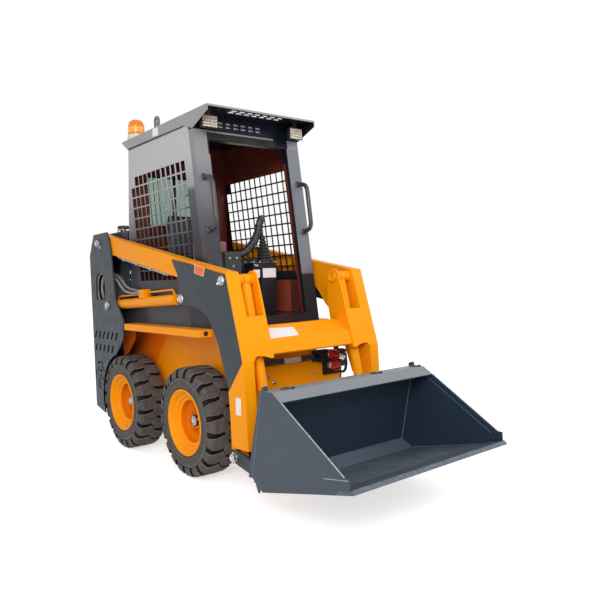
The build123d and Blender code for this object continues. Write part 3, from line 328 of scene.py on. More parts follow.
# dark navy for painted shade under the roof and its visor
SHADE_NAVY = (24, 27, 38)
MATERIALS = {
    "orange_paint": enamel("orange_enamel", (250, 156, 8), (245, 146, 4), 0.36, (214, 150, 70), 0.1, 0.09).material,
    "dark_grey_paint": enamel("dark_grey_enamel", (56, 63, 69), (48, 55, 61), 0.4, gloss=0.18, speck=0.05).material,
    "cab_grey_paint": enamel("cab_grey_enamel", (104, 108, 116), (92, 96, 104), 0.28, gloss=0.4).material,
    "bucket_paint": bucket_paint(),
    "amber_lens": amber_lens(),
    "window_glass": window_glass(),
    "worn_steel": plain("worn_steel", (88, 97, 108), 0.45, (64, 73, 84), 40, Metallic=0.5),
    "bare_steel": plain("zinc_steel", (190, 190, 192), 0.3, (150, 150, 154), 60, Metallic=0.85),
    "rod_chrome": plain("rod_chrome", (214, 216, 220), 0.12, (196, 198, 204), 80, 0.0001, Metallic=1.0),
    "tyre_rubber": plain("tyre_rubber", (62, 58, 55), 0.66, (74, 69, 65), 16, 0.0008),
    "black_plastic": plain("black_plastic", (30, 31, 34), 0.42, (44, 45, 48), 50),
    "seat_cover": plain("seat_vinyl", (30, 30, 32), 0.5, (42, 42, 44), 70, 0.0005),
    "primer_brown": plain("brown_primer", PRIMER, 0.6, (92, 43, 35), 12),
    "engine_dark": plain("engine_casting", (44, 46, 49), 0.6, (66, 66, 66), 25, 0.001),
    "hose_rubber": plain("hose_rubber", (30, 28, 28), 0.55, (56, 50, 46), 90),
    "hose_pale": plain("hose_sleeve", (150, 146, 142), 0.5, (112, 108, 104), 110),
    "pale_plastic": plain("pale_plastic", (232, 222, 206), 0.4, (212, 202, 188), 30),
    "lamp_glass": plain("lamp_lens", (196, 186, 174), 0.15, (150, 142, 134), 260, 0.001, Metallic=0.3),
}
FINISHES = {"hull": hull(), "cab_front_frame": cab_frame(), "cab_roof": cab_roof(),
            **dict.fromkeys(("tower_right", "tower_left"), tower()),
            **dict.fromkeys(("cab_side_right", "cab_side_left", "cab_rear_panel", "cab_floor"), cab_side())}
LABEL = plain("label_white", (238, 234, 236), 0.4, (224, 218, 220), 40)
TREAD = plain("tread_rubber", (88, 82, 79), 0.78, (62, 58, 56), 26, 0.0016)
# paler rubber on the lugs' broken edges and the sidewall ridge rows: partly wear, partly painted highlight
TREAD_EDGE = plain("tread_edge_wear_and_highlight", (124, 118, 113), 0.7, (90, 84, 80), 40, 0.0012)
# painted shade: a darker rubber for the lugs' sides and the gaps between the lugs
TREAD_SHADE = plain("tread_wall_painted_shade", (27, 25, 24), 0.8, (20, 18, 18), 30, 0.0012, Specular_IOR_Level=0.2)
GAP = plain("gap_black", (12, 12, 13), 0.7, (18, 18, 19), 30)
NICKEL = plain("bolt_zinc", (206, 206, 208), 0.25, (160, 160, 165), 90, Metallic=0.8)
RED = plain("red_cap", (206, 30, 38), 0.4, (170, 22, 32), 40)
REFLECTOR = plain("reflector", (238, 104, 8), 0.2, (214, 82, 6), 200, 0.0012)
LED_CHIP = plain("lamp_chip", (250, 244, 224), 0.2, (232, 222, 196), 300)
AMBER_BAND = plain("amber_band_highlight", (255, 178, 60), 0.2, (255, 160, 30), 200)
HANDLE = plain("handle_grey", (58, 61, 68), 0.3, (46, 48, 54), 30)
PALE_RIM = plain("reflector_rim_and_edge_highlight", (248, 190, 130), 0.4, (240, 176, 110), 60)
CONSOLE = plain("console_black", (26, 27, 32), 0.5, (21, 22, 26), 60, Specular_IOR_Level=0.25)
PANEL_TOP = plain("console_top", (70, 74, 80), 0.4, (56, 60, 66), 30)
POD = plain("pod_brown", (196, 142, 130), 0.5, (150, 96, 84), 12)
SEAT = plain("seat_vinyl_soft", (36, 38, 44), 0.46, (46, 48, 54), 160, 0.0006)
SEAT_SEAM = plain("seat_seam", (24, 25, 29), 0.5, (34, 35, 39), 200)
BRAID = plain("braid_white", (226, 220, 216), 0.45, (150, 144, 140), 300, 0.001)
WELD = plain("weld_bead", (104, 116, 128), 0.5, (76, 88, 100), 300, 0.002)
EDGE_HIGHLIGHT = plain("bucket_edge_highlight", (176, 182, 188), 0.4, (120, 128, 136), 60)
# painted light: a near-white panel shows behind the visor's slots
SLOT_PAINTED_LIGHT = plain("visor_liner_painted_light", (236, 240, 248), 0.4, (214, 218, 228), 20)
# painted shade: a darker orange for the rim's dish
DISH = plain("rim_dish_painted_shade", (226, 118, 6), 0.42, (222, 116, 4), 10, Specular_IOR_Level=0.1)
LED = plain("lamp_cell", (206, 192, 178), 0.2, (120, 110, 104), 400, 0.002, Metallic=0.3)

for part in frame["record"]["subparts"]:
    node = NODES[part["node"]]
    node.data.materials.clear()
    node.data.materials.append(FINISHES.get(part["node"], MATERIALS[part["material_slot"]]))


def bevelled(piece, width, angle):
    """Breaks a piece's edges that are sharper than angle, and returns the modifier for its normals."""
    bevel = piece.modifiers.new("bevel", "BEVEL")
    bevel.width = width * MM
    bevel.segments = 2
    bevel.limit_method = "ANGLE"
    bevel.angle_limit = math.radians(angle)
    return piece.modifiers.new("normals", "WEIGHTED_NORMAL")


# CAD pieces whose edges are broken, as paint and pressing do, and by how much
for width, names in ((1.2, ["cab_roof"]), (3, ["console"]),
                     (1.5, ["front_plate", "fenders", "tower_right", "tower_left", "arm_plates", "bucket_shell",
                            "carrier"]),
                     (2, ["hull", "hood", "rear_door", "cab_front_frame", "arm_right", "arm_left", "arm_crossbeam",
                          "cutting_edge", "seat_box"])):
    for name in names:
        NODES[name].modifiers.new("weld", "WELD").merge_threshold = 0.00002
        bevelled(NODES[name], width, 35).keep_sharp = True


# ---- pieces
def turn(angle):
    """Cosine and sine of an angle in degrees."""
    return math.cos(math.radians(angle)), math.sin(math.radians(angle))


def bend(before, corner, after, reach_in, reach_out, steps):
    """Points round an eased corner, from reach_in before it to reach_out after it."""
    start = corner + (before - corner).normalized() * reach_in
    end = corner + (after - corner).normalized() * reach_out
    shares = [i / steps for i in range(steps + 1)]
    return [start * (1 - share) ** 2 + corner * 2 * share * (1 - share) + end * share ** 2 for share in shares]


def rounded(points, reach, steps=4):
    """The path with its corners eased over reach."""
    points = [Vector(point) for point in points]
    path = [points[0]]
    for before, corner, after in zip(points, points[1:], points[2:]):
        path += bend(before, corner, after, min(reach, (before - corner).length / 2),
                     min(reach, (after - corner).length / 2), steps)
    return path + [points[-1]]


def placed(name, data):
    """A new object in the scene."""
    piece = bpy.data.objects.new(name, data)
    bpy.context.scene.collection.objects.link(piece)
    return piece


class Form:
    """A piece in the making: points in the drawing's millimetres, and faces that each have a material number."""

    def __init__(self):
        self.points = []
        self.faces = []
        self.kinds = []

    def add(self, points, faces, kind=0):
        start = len(self.points)
        self.points += [tuple(point) for point in points]
        self.faces += [tuple(start + i for i in face) for face in faces]
        self.kinds += [kind] * len(faces)
        return self

    def skin(self, rows, kind=0, looped=False):
        """Quads over closed rows of points, with its two ends closed, or joined to each other."""
        count = len(rows[0])
        faces = []
        for j in range(len(rows) - (0 if looped else 1)):
            after = (j + 1) % len(rows)
            faces += [(j * count + i, j * count + (i + 1) % count, after * count + (i + 1) % count, after * count + i)
                      for i in range(count)]
        if not looped:
            faces += [tuple(range(count)), tuple((len(rows) - 1) * count + i for i in range(count))]
        return self.add([point for row in rows for point in row], faces, kind)

    def lathe(self, profile, place, axis=(0, 1, 0), sides=32, kind=0, looped=False, start=0):
        """profile is (distance along the axis, radius) pairs."""
        axis = Vector(axis).normalized()
        right = axis.orthogonal().normalized()
        up = axis.cross(right)
        rows = []
        for along, radius in profile:
            row = []
            for i in range(sides):
                across, rise = turn(start + i * 360 / sides)
                row.append(Vector(place) + axis * along + (right * across + up * rise) * max(radius, 0.02))
            rows.append(row)
        return self.skin(rows, kind, looped)

    def prism(self, outline, near, far, along="y", kind=0):
        """A side-view (y), front-view (x) or top-view (z) outline between two planes."""
        order = {"y": lambda u, v, w: (u, w, v), "x": lambda u, v, w: (w, u, v), "z": lambda u, v, w: (u, v, w)}[along]
        return self.skin([[order(u, v, w) for u, v in outline] for w in (near, far)], kind)

    def block(self, u0, u1, v0, v1, near, far, along="y", kind=0):
        """A prism of a rectangle, u0 to u1 and v0 to v1."""
        return self.prism([(u0, v0), (u1, v0), (u1, v1), (u0, v1)], near, far, along, kind)

    def box(self, x0, x1, y0, y1, z0, z1, kind=0):
        return self.block(x0, x1, y0, y1, z0, z1, "z", kind)

    def tube(self, path, radius, sides=10, kind=0):
        """A round bar along a path. radius may be one number, or one for each point."""
        path = [Vector(point) for point in path]
        radii = radius if isinstance(radius, (list, tuple)) else [radius] * len(path)
        rows = []
        across = None
        for i, point in enumerate(path):
            ahead = (path[min(i + 1, len(path) - 1)] - path[max(i - 1, 0)]).normalized()
            across = ahead.orthogonal() if across is None else across - ahead * across.dot(ahead)
            across = across.normalized()
            up = ahead.cross(across)
            spots = [turn(k * 360 / sides) for k in range(sides)]
            rows.append([point + (across * c + up * s) * radii[i] for c, s in spots])
        return self.skin(rows, kind)

    def bolt(self, place, axis, across=20, height=8, washer=0, kind=0):
        """A hexagon head, chamfered, on a washer."""
        radius = across / 2 / math.cos(math.pi / 6)
        base = -0.5
        if washer:
            self.lathe([(-0.5, washer), (1.8, washer), (2.4, washer - 0.8), (2.4, 0)], place, axis, 24, kind)
            base = 2
        self.lathe([(base, radius), (base + height * 0.8, radius), (base + height, radius * 0.84), (base + height, 0)],
                   place, axis, 6, kind)
        return self

    def make(self, name, slot, *materials, body="chassis", bevel=0.0, angle=32, replaces=()):
        """The finished object, riding its body. Its materials are the slot's own, or those given or named."""
        mesh = bpy.data.meshes.new(name)
        mesh.from_pydata([((x - MIDDLE_X) * MM, y * MM, z * MM) for x, y, z in self.points], [], self.faces)
        for material in materials or (slot,):
            mesh.materials.append(MATERIALS.get(material, material))
        for polygon, kind in zip(mesh.polygons, self.kinds):
            polygon.material_index = kind
        shaped = bmesh.new()
        shaped.from_mesh(mesh)
        bmesh.ops.recalc_face_normals(shaped, faces=shaped.faces)
        shaped.to_mesh(mesh)
        shaped.free()
        mesh.shade_smooth()
        piece = placed(name, mesh)
        if bevel:
            bevelled(piece, bevel, angle)
        else:
            mesh.set_sharp_from_angle(angle=math.radians(angle))
        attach(piece, body)
        if replaces:
            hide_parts(*replaces)
        return piece


# ---- wheels
AXLES = (("front", 430), ("rear", -476))
AXLE_Z = 324.97
WHEEL_Y = 392.5
LUGS = 20
# faces round a tyre, and its rows of faces on the ridges beside the lugs, which get a painted highlight, and between
# the lugs, which get painted shade
TYRE_FACES = 96
RIDGE_ROWS = (12, 29)
GROOVE_ROWS = range(15, 28)
# sidewall and gaps: distance from the middle plane, radius
CARCASS = [(0, 305), (60, 305), (74, 303), (84, 297), (90, 288), (93.5, 276), (95, 266), (99.5, 262), (101, 258),
           (101.4, 254), (99.5, 250), (96.5, 245), (95.5, 236), (97, 228), (99.5, 221), (101.3, 217), (101.3, 212),
           (99, 206), (95, 202), (91, 199.5), (88, 196), (86, 188)]
# a lug's stations: top (distance, radius), foot (distance, radius), start and end in shares of the pitch
STATIONS = [((-13, 323.5), (-14, 303), -0.03, 0.07), ((13, 324.3), (13, 302), -0.38, 0.41),
            ((26, 324.4), (26, 302), -0.40, 0.40), ((42, 324.4), (42, 302), -0.44, 0.34),
            ((76, 323), (72, 300), -0.42, 0.31), ((88, 317), (81, 295), -0.40, 0.29),
            ((97, 300), (87, 285), -0.38, 0.27), ((101, 283), (91, 274), -0.36, 0.25),
            ((101.6, 266), (94, 262), -0.32, 0.22)]
# degrees by which a lug's foot spreads and its top draws in, and the width of its broken edge
LUG_FOOT = 0.5
LUG_INSET = 0.55
LUG_EDGE = 3


def tyre(wheel, x, side):
    form = Form()

    def spot(w, r, angle):
        across, rise = turn(angle)
        return (x + r * across, side * (WHEEL_Y + w), AXLE_Z + r * rise)

    half = CARCASS[1:]
    profile = half[::-1] + [CARCASS[0]] + [(-w, r) for w, r in half]
    profile += [(-84, 187.3), (84, 187.3)]
    form.skin([[spot(w, r, i * 360 / TYRE_FACES) for i in range(TYRE_FACES)] for w, r in profile], looped=True)
    rows = [i // TYRE_FACES for i in range(len(form.kinds))]
    form.kinds = [3 if row in RIDGE_ROWS else 2 if row in GROOVE_ROWS else 0 for row in rows]
    pitch = 360 / LUGS
    for row in (-1, 1):
        for i in range(LUGS):
            middle = (i + row / 4) * pitch
            rows = []
            for (tw, tr), (fw, fr), low, high in STATIONS:
                low, high = middle + low * pitch, middle + high * pitch
                share = LUG_EDGE / math.hypot(tw - fw, tr - fr)
                ew, er = tw + (fw - tw) * share, tr + (fr - tr) * share
                rows.append([spot(row * w, r, angle) for w, r, angle in
                             ((fw, fr, low - LUG_FOOT), (ew, er, low), (tw, tr, low + LUG_INSET),
                              (tw, tr, (low + high) / 2), (tw, tr, high - LUG_INSET), (ew, er, high),
                              (fw, fr, high + LUG_FOOT))])
            form.skin(rows, 1)
            count = 7 * (len(rows) - 1)
            # the lugs' sides take painted shade, their broken edges a paler rubber for wear and a painted highlight,
            # their tops the tread rubber
            form.kinds[-count - 2:] = [(2, 3, 1, 1, 3, 2, 2)[i % 7] for i in range(count)] + [2, 2]
    form.make(f"tread_{wheel}", "tyre_rubber", "tyre_rubber", TREAD, TREAD_SHADE, TREAD_EDGE, body=f"wheel_{wheel}",
              angle=12, replaces=[f"tyre_{wheel}"])


# dish from the outer lip to the hub and back along its inside: distance from the middle plane, radius
RIM = [(-98, 183), (-100.5, 187), (-100.5, 194), (-97, 198), (-92, 197), (-89, 190), (-86, 187), (86, 187),
       (89, 190), (92, 197), (97, 198), (100.5, 195), (100.5, 190), (98, 186), (94, 184), (91, 181.5), (88, 176),
       (82, 171), (74, 168), (70, 165), (68, 159), (67, 152), (64, 148), (58, 146), (54, 143), (52, 137), (51, 131),
       (48, 126.5), (42, 124.5), (24, 122.5), (12, 121), (7, 117), (4, 110), (3, 96), (1.5, 84), (3, 78), (9, 71),
       (14.5, 67), (16, 62), (16, 30), (7, 30), (6, 68), (-2, 76), (-6, 84), (-4, 110), (0, 128), (8, 140),
       (40, 150), (62, 168), (74, 182)]
# faces round a rim, and rows of its faces that lie in the dish, which take a darker orange as painted shade
RIM_FACES = 72
DISH_ROWS = range(27, 39)


def rim(wheel, x, side):
    form = Form()
    place = (x, side * WHEEL_Y, AXLE_Z)
    form.lathe(RIM, place, (0, side, 0), RIM_FACES, looped=True)
    form.kinds = [3 if i // RIM_FACES in DISH_ROWS else 0 for i in range(len(form.kinds))]
    for i in range(5):
        across, rise = turn(i * 72 + 20)
        form.bolt((x + 48 * across, side * (WHEEL_Y + 16), AXLE_Z + 48 * rise), (0, side, 0), 19, 12, 13, 3)
        # dark wedges between the bolts: painted shade for the hub's recesses
        fan = [turn(i * 72 + 56 + a) for a in (-15, 0, 15)]
        wedge = [(x + 60 * fan[0][0], AXLE_Z + 60 * fan[0][1]), (x + 61 * fan[1][0], AXLE_Z + 61 * fan[1][1]),
                 (x + 60 * fan[2][0], AXLE_Z + 60 * fan[2][1]), (x + 38 * fan[1][0], AXLE_Z + 38 * fan[1][1])]
        form.prism(wedge, side * (WHEEL_Y + 15), side * (WHEEL_Y + 16.6), "y", 2)
    form.lathe([(14, 33), (26, 33), (30, 29), (30, 0)], place, (0, side, 0), 32, 2)
    form.bolt((x, side * (WHEEL_Y + 30), AXLE_Z), (0, side, 0), 30, 9, 0, 1)
    form.make(f"dish_{wheel}", "orange_paint", "orange_paint", NICKEL, GAP, DISH, body=f"wheel_{wheel}", angle=22,
              replaces=[f"rim_{wheel}"])


for end, x in AXLES:
    for side_name, side in SIDES:
        tyre(f"{end}_{side_name}", x, side)
        rim(f"{end}_{side_name}", x, side)


# ---- pin heads
def pin_heads(form, place, y, side, tilt=None):
    """A hexagon head on a washer and, towards tilt, a keeper plate with its small bolt."""
    x, z = place
    form.bolt((x, side * y, z), (0, side, 0), 38, 11, 26)
    if tilt is None:
        return
    across, rise = turn(tilt)

    def spot(along, aside):
        return (x + along * across - aside * rise, z + along * rise + aside * across)

    under, top = side * (y - 9.2), side * (y - 5.2)
    form.prism([spot(20, 10), spot(20, -10), spot(52, -9), spot(61, 0), spot(52, 9)], under, top)
    bolt_x, bolt_z = spot(48, 0)
    form.bolt((bolt_x, top, bolt_z), (0, side, 0), 13, 7)


for side_name, side in SIDES:
    form = Form()
    pin_heads(form, ARM_PIVOT, 497, side, -40)
    pin_heads(form, LIFT_FOOT, 497, side, 215)
    form.make(f"tower_pin_bolts_{side_name}", "bare_steel", NICKEL, angle=25)
    form = Form()
    pin_heads(form, TILT_TOP, 493, side, 200)
    pin_heads(form, LIFT_TOP, 493, side)
    form.make(f"arm_pin_bolts_{side_name}", "bare_steel", NICKEL, body="lift_arms", angle=25)
    form = Form()
    x, z = BUCKET_PIN
    y = side * 504
    form.lathe([(0, 21), (18, 21), (21, 18), (21, 12), (17, 10), (17, 0)], (x, side * 492, z), (0, side, 0))
    form.tube([(x, y, 262), (x, y, 196)], 3.5)
    form.tube(rounded([(x, y, 200), (984, y, 186), (974, y, 178), (970, y, 194)], 6), 2.2, 8)
    form.make(f"bucket_pin_ends_{side_name}", "bare_steel", NICKEL, body="bucket", angle=25)

# painted end of each tilt cylinder's upper pin
form = Form()
for _, side in SIDES:
    form.lathe([(-2, 33), (3, 33), (6, 30), (6, 24), (2, 21), (2, 13), (4, 11), (4, 0)],
               (TILT_TOP[0], side * 284, TILT_TOP[1]), (0, -side, 0))
form.make("tilt_pin_bosses", "orange_paint", body="lift_arms", angle=30)


# ---- cab outside
# work lights: a dark housing with cooling fins on a stem, and a lens of small reflector cells
for side_name, side in SIDES:
    form = Form()
    y = side * 318
    form.box(546, 569, y - 50, y + 50, 2044, 2112)
    for i in range(7):
        form.box(538, 547, y - 40 + i * 12.8, y - 37 + i * 12.8, 2048, 2108)
    for low, high in ((-52, -48), (48, 52)):
        form.box(566, 579, y + low, y + high, 2042, 2114)
    for low, high in ((2042, 2046), (2110, 2114)):
        form.box(566, 579, y - 48, y + 48, low, high)
    form.box(552, 566, y - 14, y + 14, 2100, 2144)
    form.lathe([(-56, 6), (-54, 9), (54, 9), (56, 6)], (556, y, 2078), (0, 1, 0), 12)
    wide, tall = 19.2, 16
    for i in range(5):
        for j in range(4):
            outer, inner = ([(x, y - 48 + (i + a) * wide, 2046 + (j + b) * tall) for a, b in
                             ((low, low), (high, low), (high, high), (low, high))]
                            for x, low, high in ((576.5, 0, 1), (570, 0.32, 0.68)))
            form.add(outer + inner, [(k, (k + 1) % 4, 4 + (k + 1) % 4, 4 + k) for k in range(4)], 1)
            form.add(inner, [(0, 1, 2, 3)], 2)
    form.make(f"work_light_{side_name}", "lamp_glass", "black_plastic", LED, LED_CHIP, angle=20,
              replaces=["work_lights"])

form = Form()
form.lathe([(0, 62), (6, 62), (10, 59), (14, 59), (17, 61), (24, 61), (28, 58), (34, 56), (34, 0)], BEACON,
           (0, 0, 1), 48)
form.make("beacon_foot", "pale_plastic", angle=25, replaces=["beacon_base"])
form = Form()
form.lathe([(32, 50), (34, 58), (40, 58), (42, 56), (88, 54.5), (91, 56), (95, 56), (98, 53.5), (112, 51), (124, 44),
            (132, 34), (137, 17), (138, 0)], BEACON, (0, 0, 1), 48)
# a paler amber band in the dome: painted highlight of the lamp's inner reflector
form.lathe([(46, 56.5), (50, 57), (82, 55.8), (86, 55.2)], BEACON, (0, 0, 1), 48, 1)
form.make("beacon_dome", "amber_lens", "amber_lens", AMBER_BAND, angle=30, replaces=["beacon_lens"])

form = Form()
for _, side in SIDES:
    y = side * 350
    top, foot = (FRONT_X - (z - FRONT_Z) * LEAN for z in (1760, 1450))
    run = [(top + 2, y, 1760), (top + 88, y, 1752), (foot + 80, y, 1468), (foot + 2, y, 1450)]
    form.tube(rounded(run, 50, 6), 14, 16)
    for x, z in ((top, 1760), (foot, 1450)):
        form.lathe([(-1, 22), (4, 22), (7, 17), (12, 14.5)], (x, y, z), (1, 0, 0.14), 24)
form.make("cab_handles", "black_plastic", HANDLE, angle=35, replaces=["grab_handles"])

# a black strip in the joint under the roof's edge: painted shade for the joint's shadow line
form = Form()
for _, side in SIDES:
    form.prism([(-392, 2077), (384, 2076), (384, 2081), (-392, 2086)], side * 389, side * 394.4)
form.make("roof_joint", "black_plastic", GAP, bevel=0.5)

# plain plates where a label would be: name, body, corner places, outward direction
PLATES = (
    ("roof_plate", "chassis", [(-8, -393, 2146), (70, -393, 2139), (66, -393, 2090), (-12, -393, 2093)], (0, -1, 0)),
    ("leg_plate", "lift_arms", [(1000, -487, 547), (1047, -487, 548), (1045, -487, 457), (998, -487, 456)],
     (0, -1, 0)),
    ("beam_plate", "lift_arms", [(975, -247, 886), (981, -78, 881), (1040, -85, 840), (1044, -284, 837)],
     (0.57, 0, 0.82)),
    ("console_plate_right", "chassis", [(501, -2, 1214), (501, 48, 1214), (501, 46, 1163), (501, 6, 1163)], (1, 0, 0)),
    ("console_plate_left", "chassis", [(500, 71, 1222), (500, 174, 1222), (500, 173, 1163), (500, 71, 1163)],
     (1, 0, 0)),
)


def plate(form, corners, outward, thick=1.2, grow=0.0, kind=0):
    """A thin plate with rounded corners, laid on a surface."""
    corners = [Vector(corner) for corner in corners]
    outward = Vector(outward)
    middle = sum(corners, Vector()) / len(corners)
    ring = []
    for before, corner, after in zip(corners[-1:] + corners[:-1], corners, corners[1:] + corners[:1]):
        corner = corner + (corner - middle).normalized() * grow
        ring += bend(before, corner, after, 5, 5, 3)
    form.skin([[point - outward for point in ring], [point + outward * thick for point in ring]], kind)


for name, body, corners, outward in PLATES:
    form = Form()
    plate(form, corners, outward)
    form.make(name, "pale_plastic", LABEL, body=body)
for side_name, side in SIDES:
    form = Form()
    corners = [(625, side * 484, 1253), (735, side * 484, 1229), (716, side * 484, 1179), (616, side * 484, 1202)]
    plate(form, corners, (0, side, 0), 1.6)
    plate(form, corners, (0, side, 0), 3.2, -11, 1)
    form.make(f"side_reflector_{side_name}", "orange_paint", PALE_RIM, REFLECTOR, body="lift_arms")

# ---- cab inside
def bellows(form, foot, tip, base, top, folds):
    """A rubber boot: a cone of folds between two points."""
    foot, tip = Vector(foot), Vector(tip)
    length = (tip - foot).length
    profile = [(0, base + 4), (3, base + 4), (4, base)]
    for i in range(folds):
        radius = base + (top - base) * (i / folds) ** 0.8
        step = length / folds
        profile += [(4 + i * step, radius - 5), (4 + (i + 0.35) * step, radius + 1.5), (4 + (i + 0.6) * step, radius)]
    profile += [(length, top - 3), (length + 4, top), (length + 12, top), (length + 13, 0)]
    form.lathe(profile, foot, tip - foot, 28)


form = Form()
form.box(398, 502, -2, 180, 1226, 1256)
form.box(400, 500, 56, 178, 1150, 1240)
form.skin([[(x, y, 1152) for x, y in ((400, 56), (500, 56), (500, 178), (400, 178))],
           [(x, y, 923) for x, y in ((404, 62), (496, 62), (496, 172), (404, 172))]])
form.box(405, 499, 0, 54, 1160, 1230)
form.box(394, 506, -8, 184, 1255, 1261, 1)
form.make("console_body", "black_plastic", CONSOLE, PANEL_TOP, bevel=2.5, replaces=["console"])
form = Form()
for y in (6, 52, 110, 172):
    for x in (401, 499):
        form.bolt((x, y, 1261), (0, 0, 1), 9, 5, 8)
for y, z in ((30, 1240), (12, 1243)):
    form.bolt((501, y, z), (1, 0, 0), 8, 5, 7)
form.make("console_bolts", "bare_steel", NICKEL, angle=25)

form = Form()
bellows(form, (452, 120, 1261), (450, 112, 1420), 56, 15, 8)
form.tube([(450, 112, 1425), (449, 110, 1470), (446, 108, 1500)], [9, 9, 12], 12)
arm = rounded([(405, -80, 1310), (440, -20, 1318), (450, 48, 1392), (450, 84, 1462), (450, 96, 1530)], 45, 5)
form.tube(arm, [20 + 6 * math.sin(math.pi * i / (len(arm) - 1)) for i in range(len(arm))], 14)
for ring, after in list(zip(arm, arm[1:]))[2::2]:
    along = (after - ring).normalized() * 3
    form.tube([ring - along, ring + along], 27.5, 16)
form.skin([[(450 + dx * grow, 100 + shift + dy * grow, z) for dx, dy in
            ((-17, -14), (-10, -20), (10, -20), (17, -14), (17, 14), (10, 20), (-10, 20), (-17, 14))]
           for z, grow, shift in ((1500, 0.8, 0), (1510, 1, 1), (1535, 1.05, 6), (1552, 1, 12), (1560, 0.75, 14))])
form.lathe([(0, 7), (5, 7), (7, 4)], (452, 116, 1558), (0.2, 0, 1), 12, 1)
for levels in (((1197, 58), (1318, 58)), ((1318, 55.68), (1324, 54.52), (1332, 46.4))):
    form.skin([[(410 + a * half, -125 + b * half, z) for a, b in SQUARE]
               for z, half in levels])
form.box(392, 428, -143, -107, 923, 1197)
form.box(396, 470, -150, -100, 1150, 1197)
for y, z in ((-150, 1290), (-100, 1290), (-125, 1240)):
    form.bolt((468, y, z), (1, 0, 0), 9, 4, 7, 1)
form.make("lever_and_pod", "black_plastic", "black_plastic", NICKEL, bevel=1.2, angle=40,
          replaces=["control_levers"])

form = Form()
form.block(236, 446, 1156, 1206, 370, 382)
for i in range(5):
    form.block(250 + i * 40, 278 + i * 40, 1172, 1190, 367.5, 371, "y", 1)
form.make("side_rail", "black_plastic", "black_plastic", GAP, bevel=1.2)

form = Form()
form.skin([[(226 + a * (96 - dx), -146.5 + b * (68.5 - dy), z) for a, b in SQUARE]
           for z, dx, dy in ((1180, 8, 6), (1200, 0, 0), (1392, 0, 0), (1402, 4, 3))])
form.make("arm_rest", "primer_brown", POD, bevel=7, angle=20)


# ---- seat
VOXEL = 7
SWELL_FRAMES = 20


def swollen(name, x0, x1, y0, y1, z0, z1, pull, cap, replaces=()):
    """A cushion: a rounded block with a voxel skin, blown up a little as cloth, by cap at most."""
    rows = []
    for share in (0, 0.15, 0.5, 0.85, 1):
        inset = pull * (2 * share - 1) ** 4
        ring = []
        for i in range(24):
            c, s = (math.copysign(abs(part) ** 0.35, part) for part in turn(i * 15 + 7.5))
            ring.append(((x0 + x1) / 2 + c * ((x1 - x0) / 2 - inset), (y0 + y1) / 2 + s * ((y1 - y0) / 2 - inset),
                         z0 + (z1 - z0) * share))
        rows.append(ring)
    piece = Form().skin(rows).make(name, "seat_cover", SEAT, angle=180, replaces=replaces)
    mesh = piece.data
    remesh = piece.modifiers.new("skin", "REMESH")
    remesh.mode = "VOXEL"
    remesh.voxel_size = VOXEL * MM
    bpy.context.view_layer.update()
    shaped = bpy.data.meshes.new_from_object(piece.evaluated_get(bpy.context.evaluated_depsgraph_get()))
    start = [vertex.co.copy() for vertex in shaped.vertices]
    trial = placed(name + "_trial", shaped)
    cloth = trial.modifiers.new("cloth", "CLOTH")
    cloth.settings.use_pressure = True
    cloth.settings.uniform_pressure_force = 4
    cloth.settings.effector_weights.gravity = 0
    cloth.point_cache.frame_end = SWELL_FRAMES
    for number in range(1, SWELL_FRAMES + 1):
        bpy.context.scene.frame_set(number)
    blown = trial.evaluated_get(bpy.context.evaluated_depsgraph_get()).to_mesh()
    moves = [vertex.co - first for vertex, first in zip(blown.vertices, start)]
    for vertex, first, move in zip(shaped.vertices, start, moves):
        vertex.co = first + move * min(1, cap * MM / max(move.length, 1e-6))
    bpy.context.scene.frame_set(1)
    bpy.data.objects.remove(trial)
    piece.modifiers.clear()
    shaped.materials.clear()
    shaped.materials.append(SEAT)
    shaped.shade_smooth()
    piece.data = shaped
    bpy.data.meshes.remove(mesh)
    piece.modifiers.new("smooth", "SUBSURF").levels = 1
    piece.modifiers["smooth"].render_levels = 1


swollen("seat_cushion", -190, 250, -220, 220, 1162, 1272, 14, 9, ["seat"])
swollen("seat_bolster_right", -170, 236, -222, -168, 1235, 1296, 10, 6)
swollen("seat_bolster_left", -170, 236, 168, 222, 1235, 1296, 10, 6)
swollen("seat_back", -250, -200, -214, 214, 1305, 1622, 10, 9)
form = Form()
for seam in (((-180, 1283), (60, 1285), (235, 1281)), ((-191, 1330), (-189, 1460), (-192, 1600))):
    for y in (-110, 0, 110):
        form.tube(rounded([(x, y, z) for x, z in seam], 40, 5), 3.2, 8)
form.make("seat_piping", "seat_cover", SEAT_SEAM)

# ---- hood, tail and engine bay
form = Form()
x, y = -652, -342
form.lathe([(0, 30), (4, 30), (6, 24), (16, 22), (18, 17), (26, 17)], (x, y, 1530), (0, 0, 1))
star = [(42 + 7 * turn(i * 60)[0], *turn(i * 12)) for i in range(30)]
form.skin([[(x + radius * c * grow, y + radius * s * grow, z) for radius, c, s in star]
           for z, grow in ((1554, 0.8), (1559, 1), (1572, 1), (1578, 0.82))])
form.make("filler_knob", "black_plastic", angle=30, replaces=["filler_cap"])

form = Form()
form.tube(rounded([(-664, -380, 1532), (-664, -380, 1547), (-560, -380, 1547), (-560, -380, 1532)], 12), 5)
for y in (-300, 300):
    for x in (-820, -560):
        form.bolt((x, y, 1530), (0, 0, 1), 14, 7, 11)
form.make("hood_fixings", "bare_steel", NICKEL, angle=25)

# air slots in the engine bay's sides, drawn as black blocks: painted shade in the slots
form = Form()
for _, side in SIDES:
    y = side * 394
    for i in range(6):
        form.block(-700 + i * 34, -684 + i * 34, 1210, 1400, y - side * 3, y + side * 1.4)
form.make("bay_slots", "dark_grey_paint", GAP, bevel=0.6)

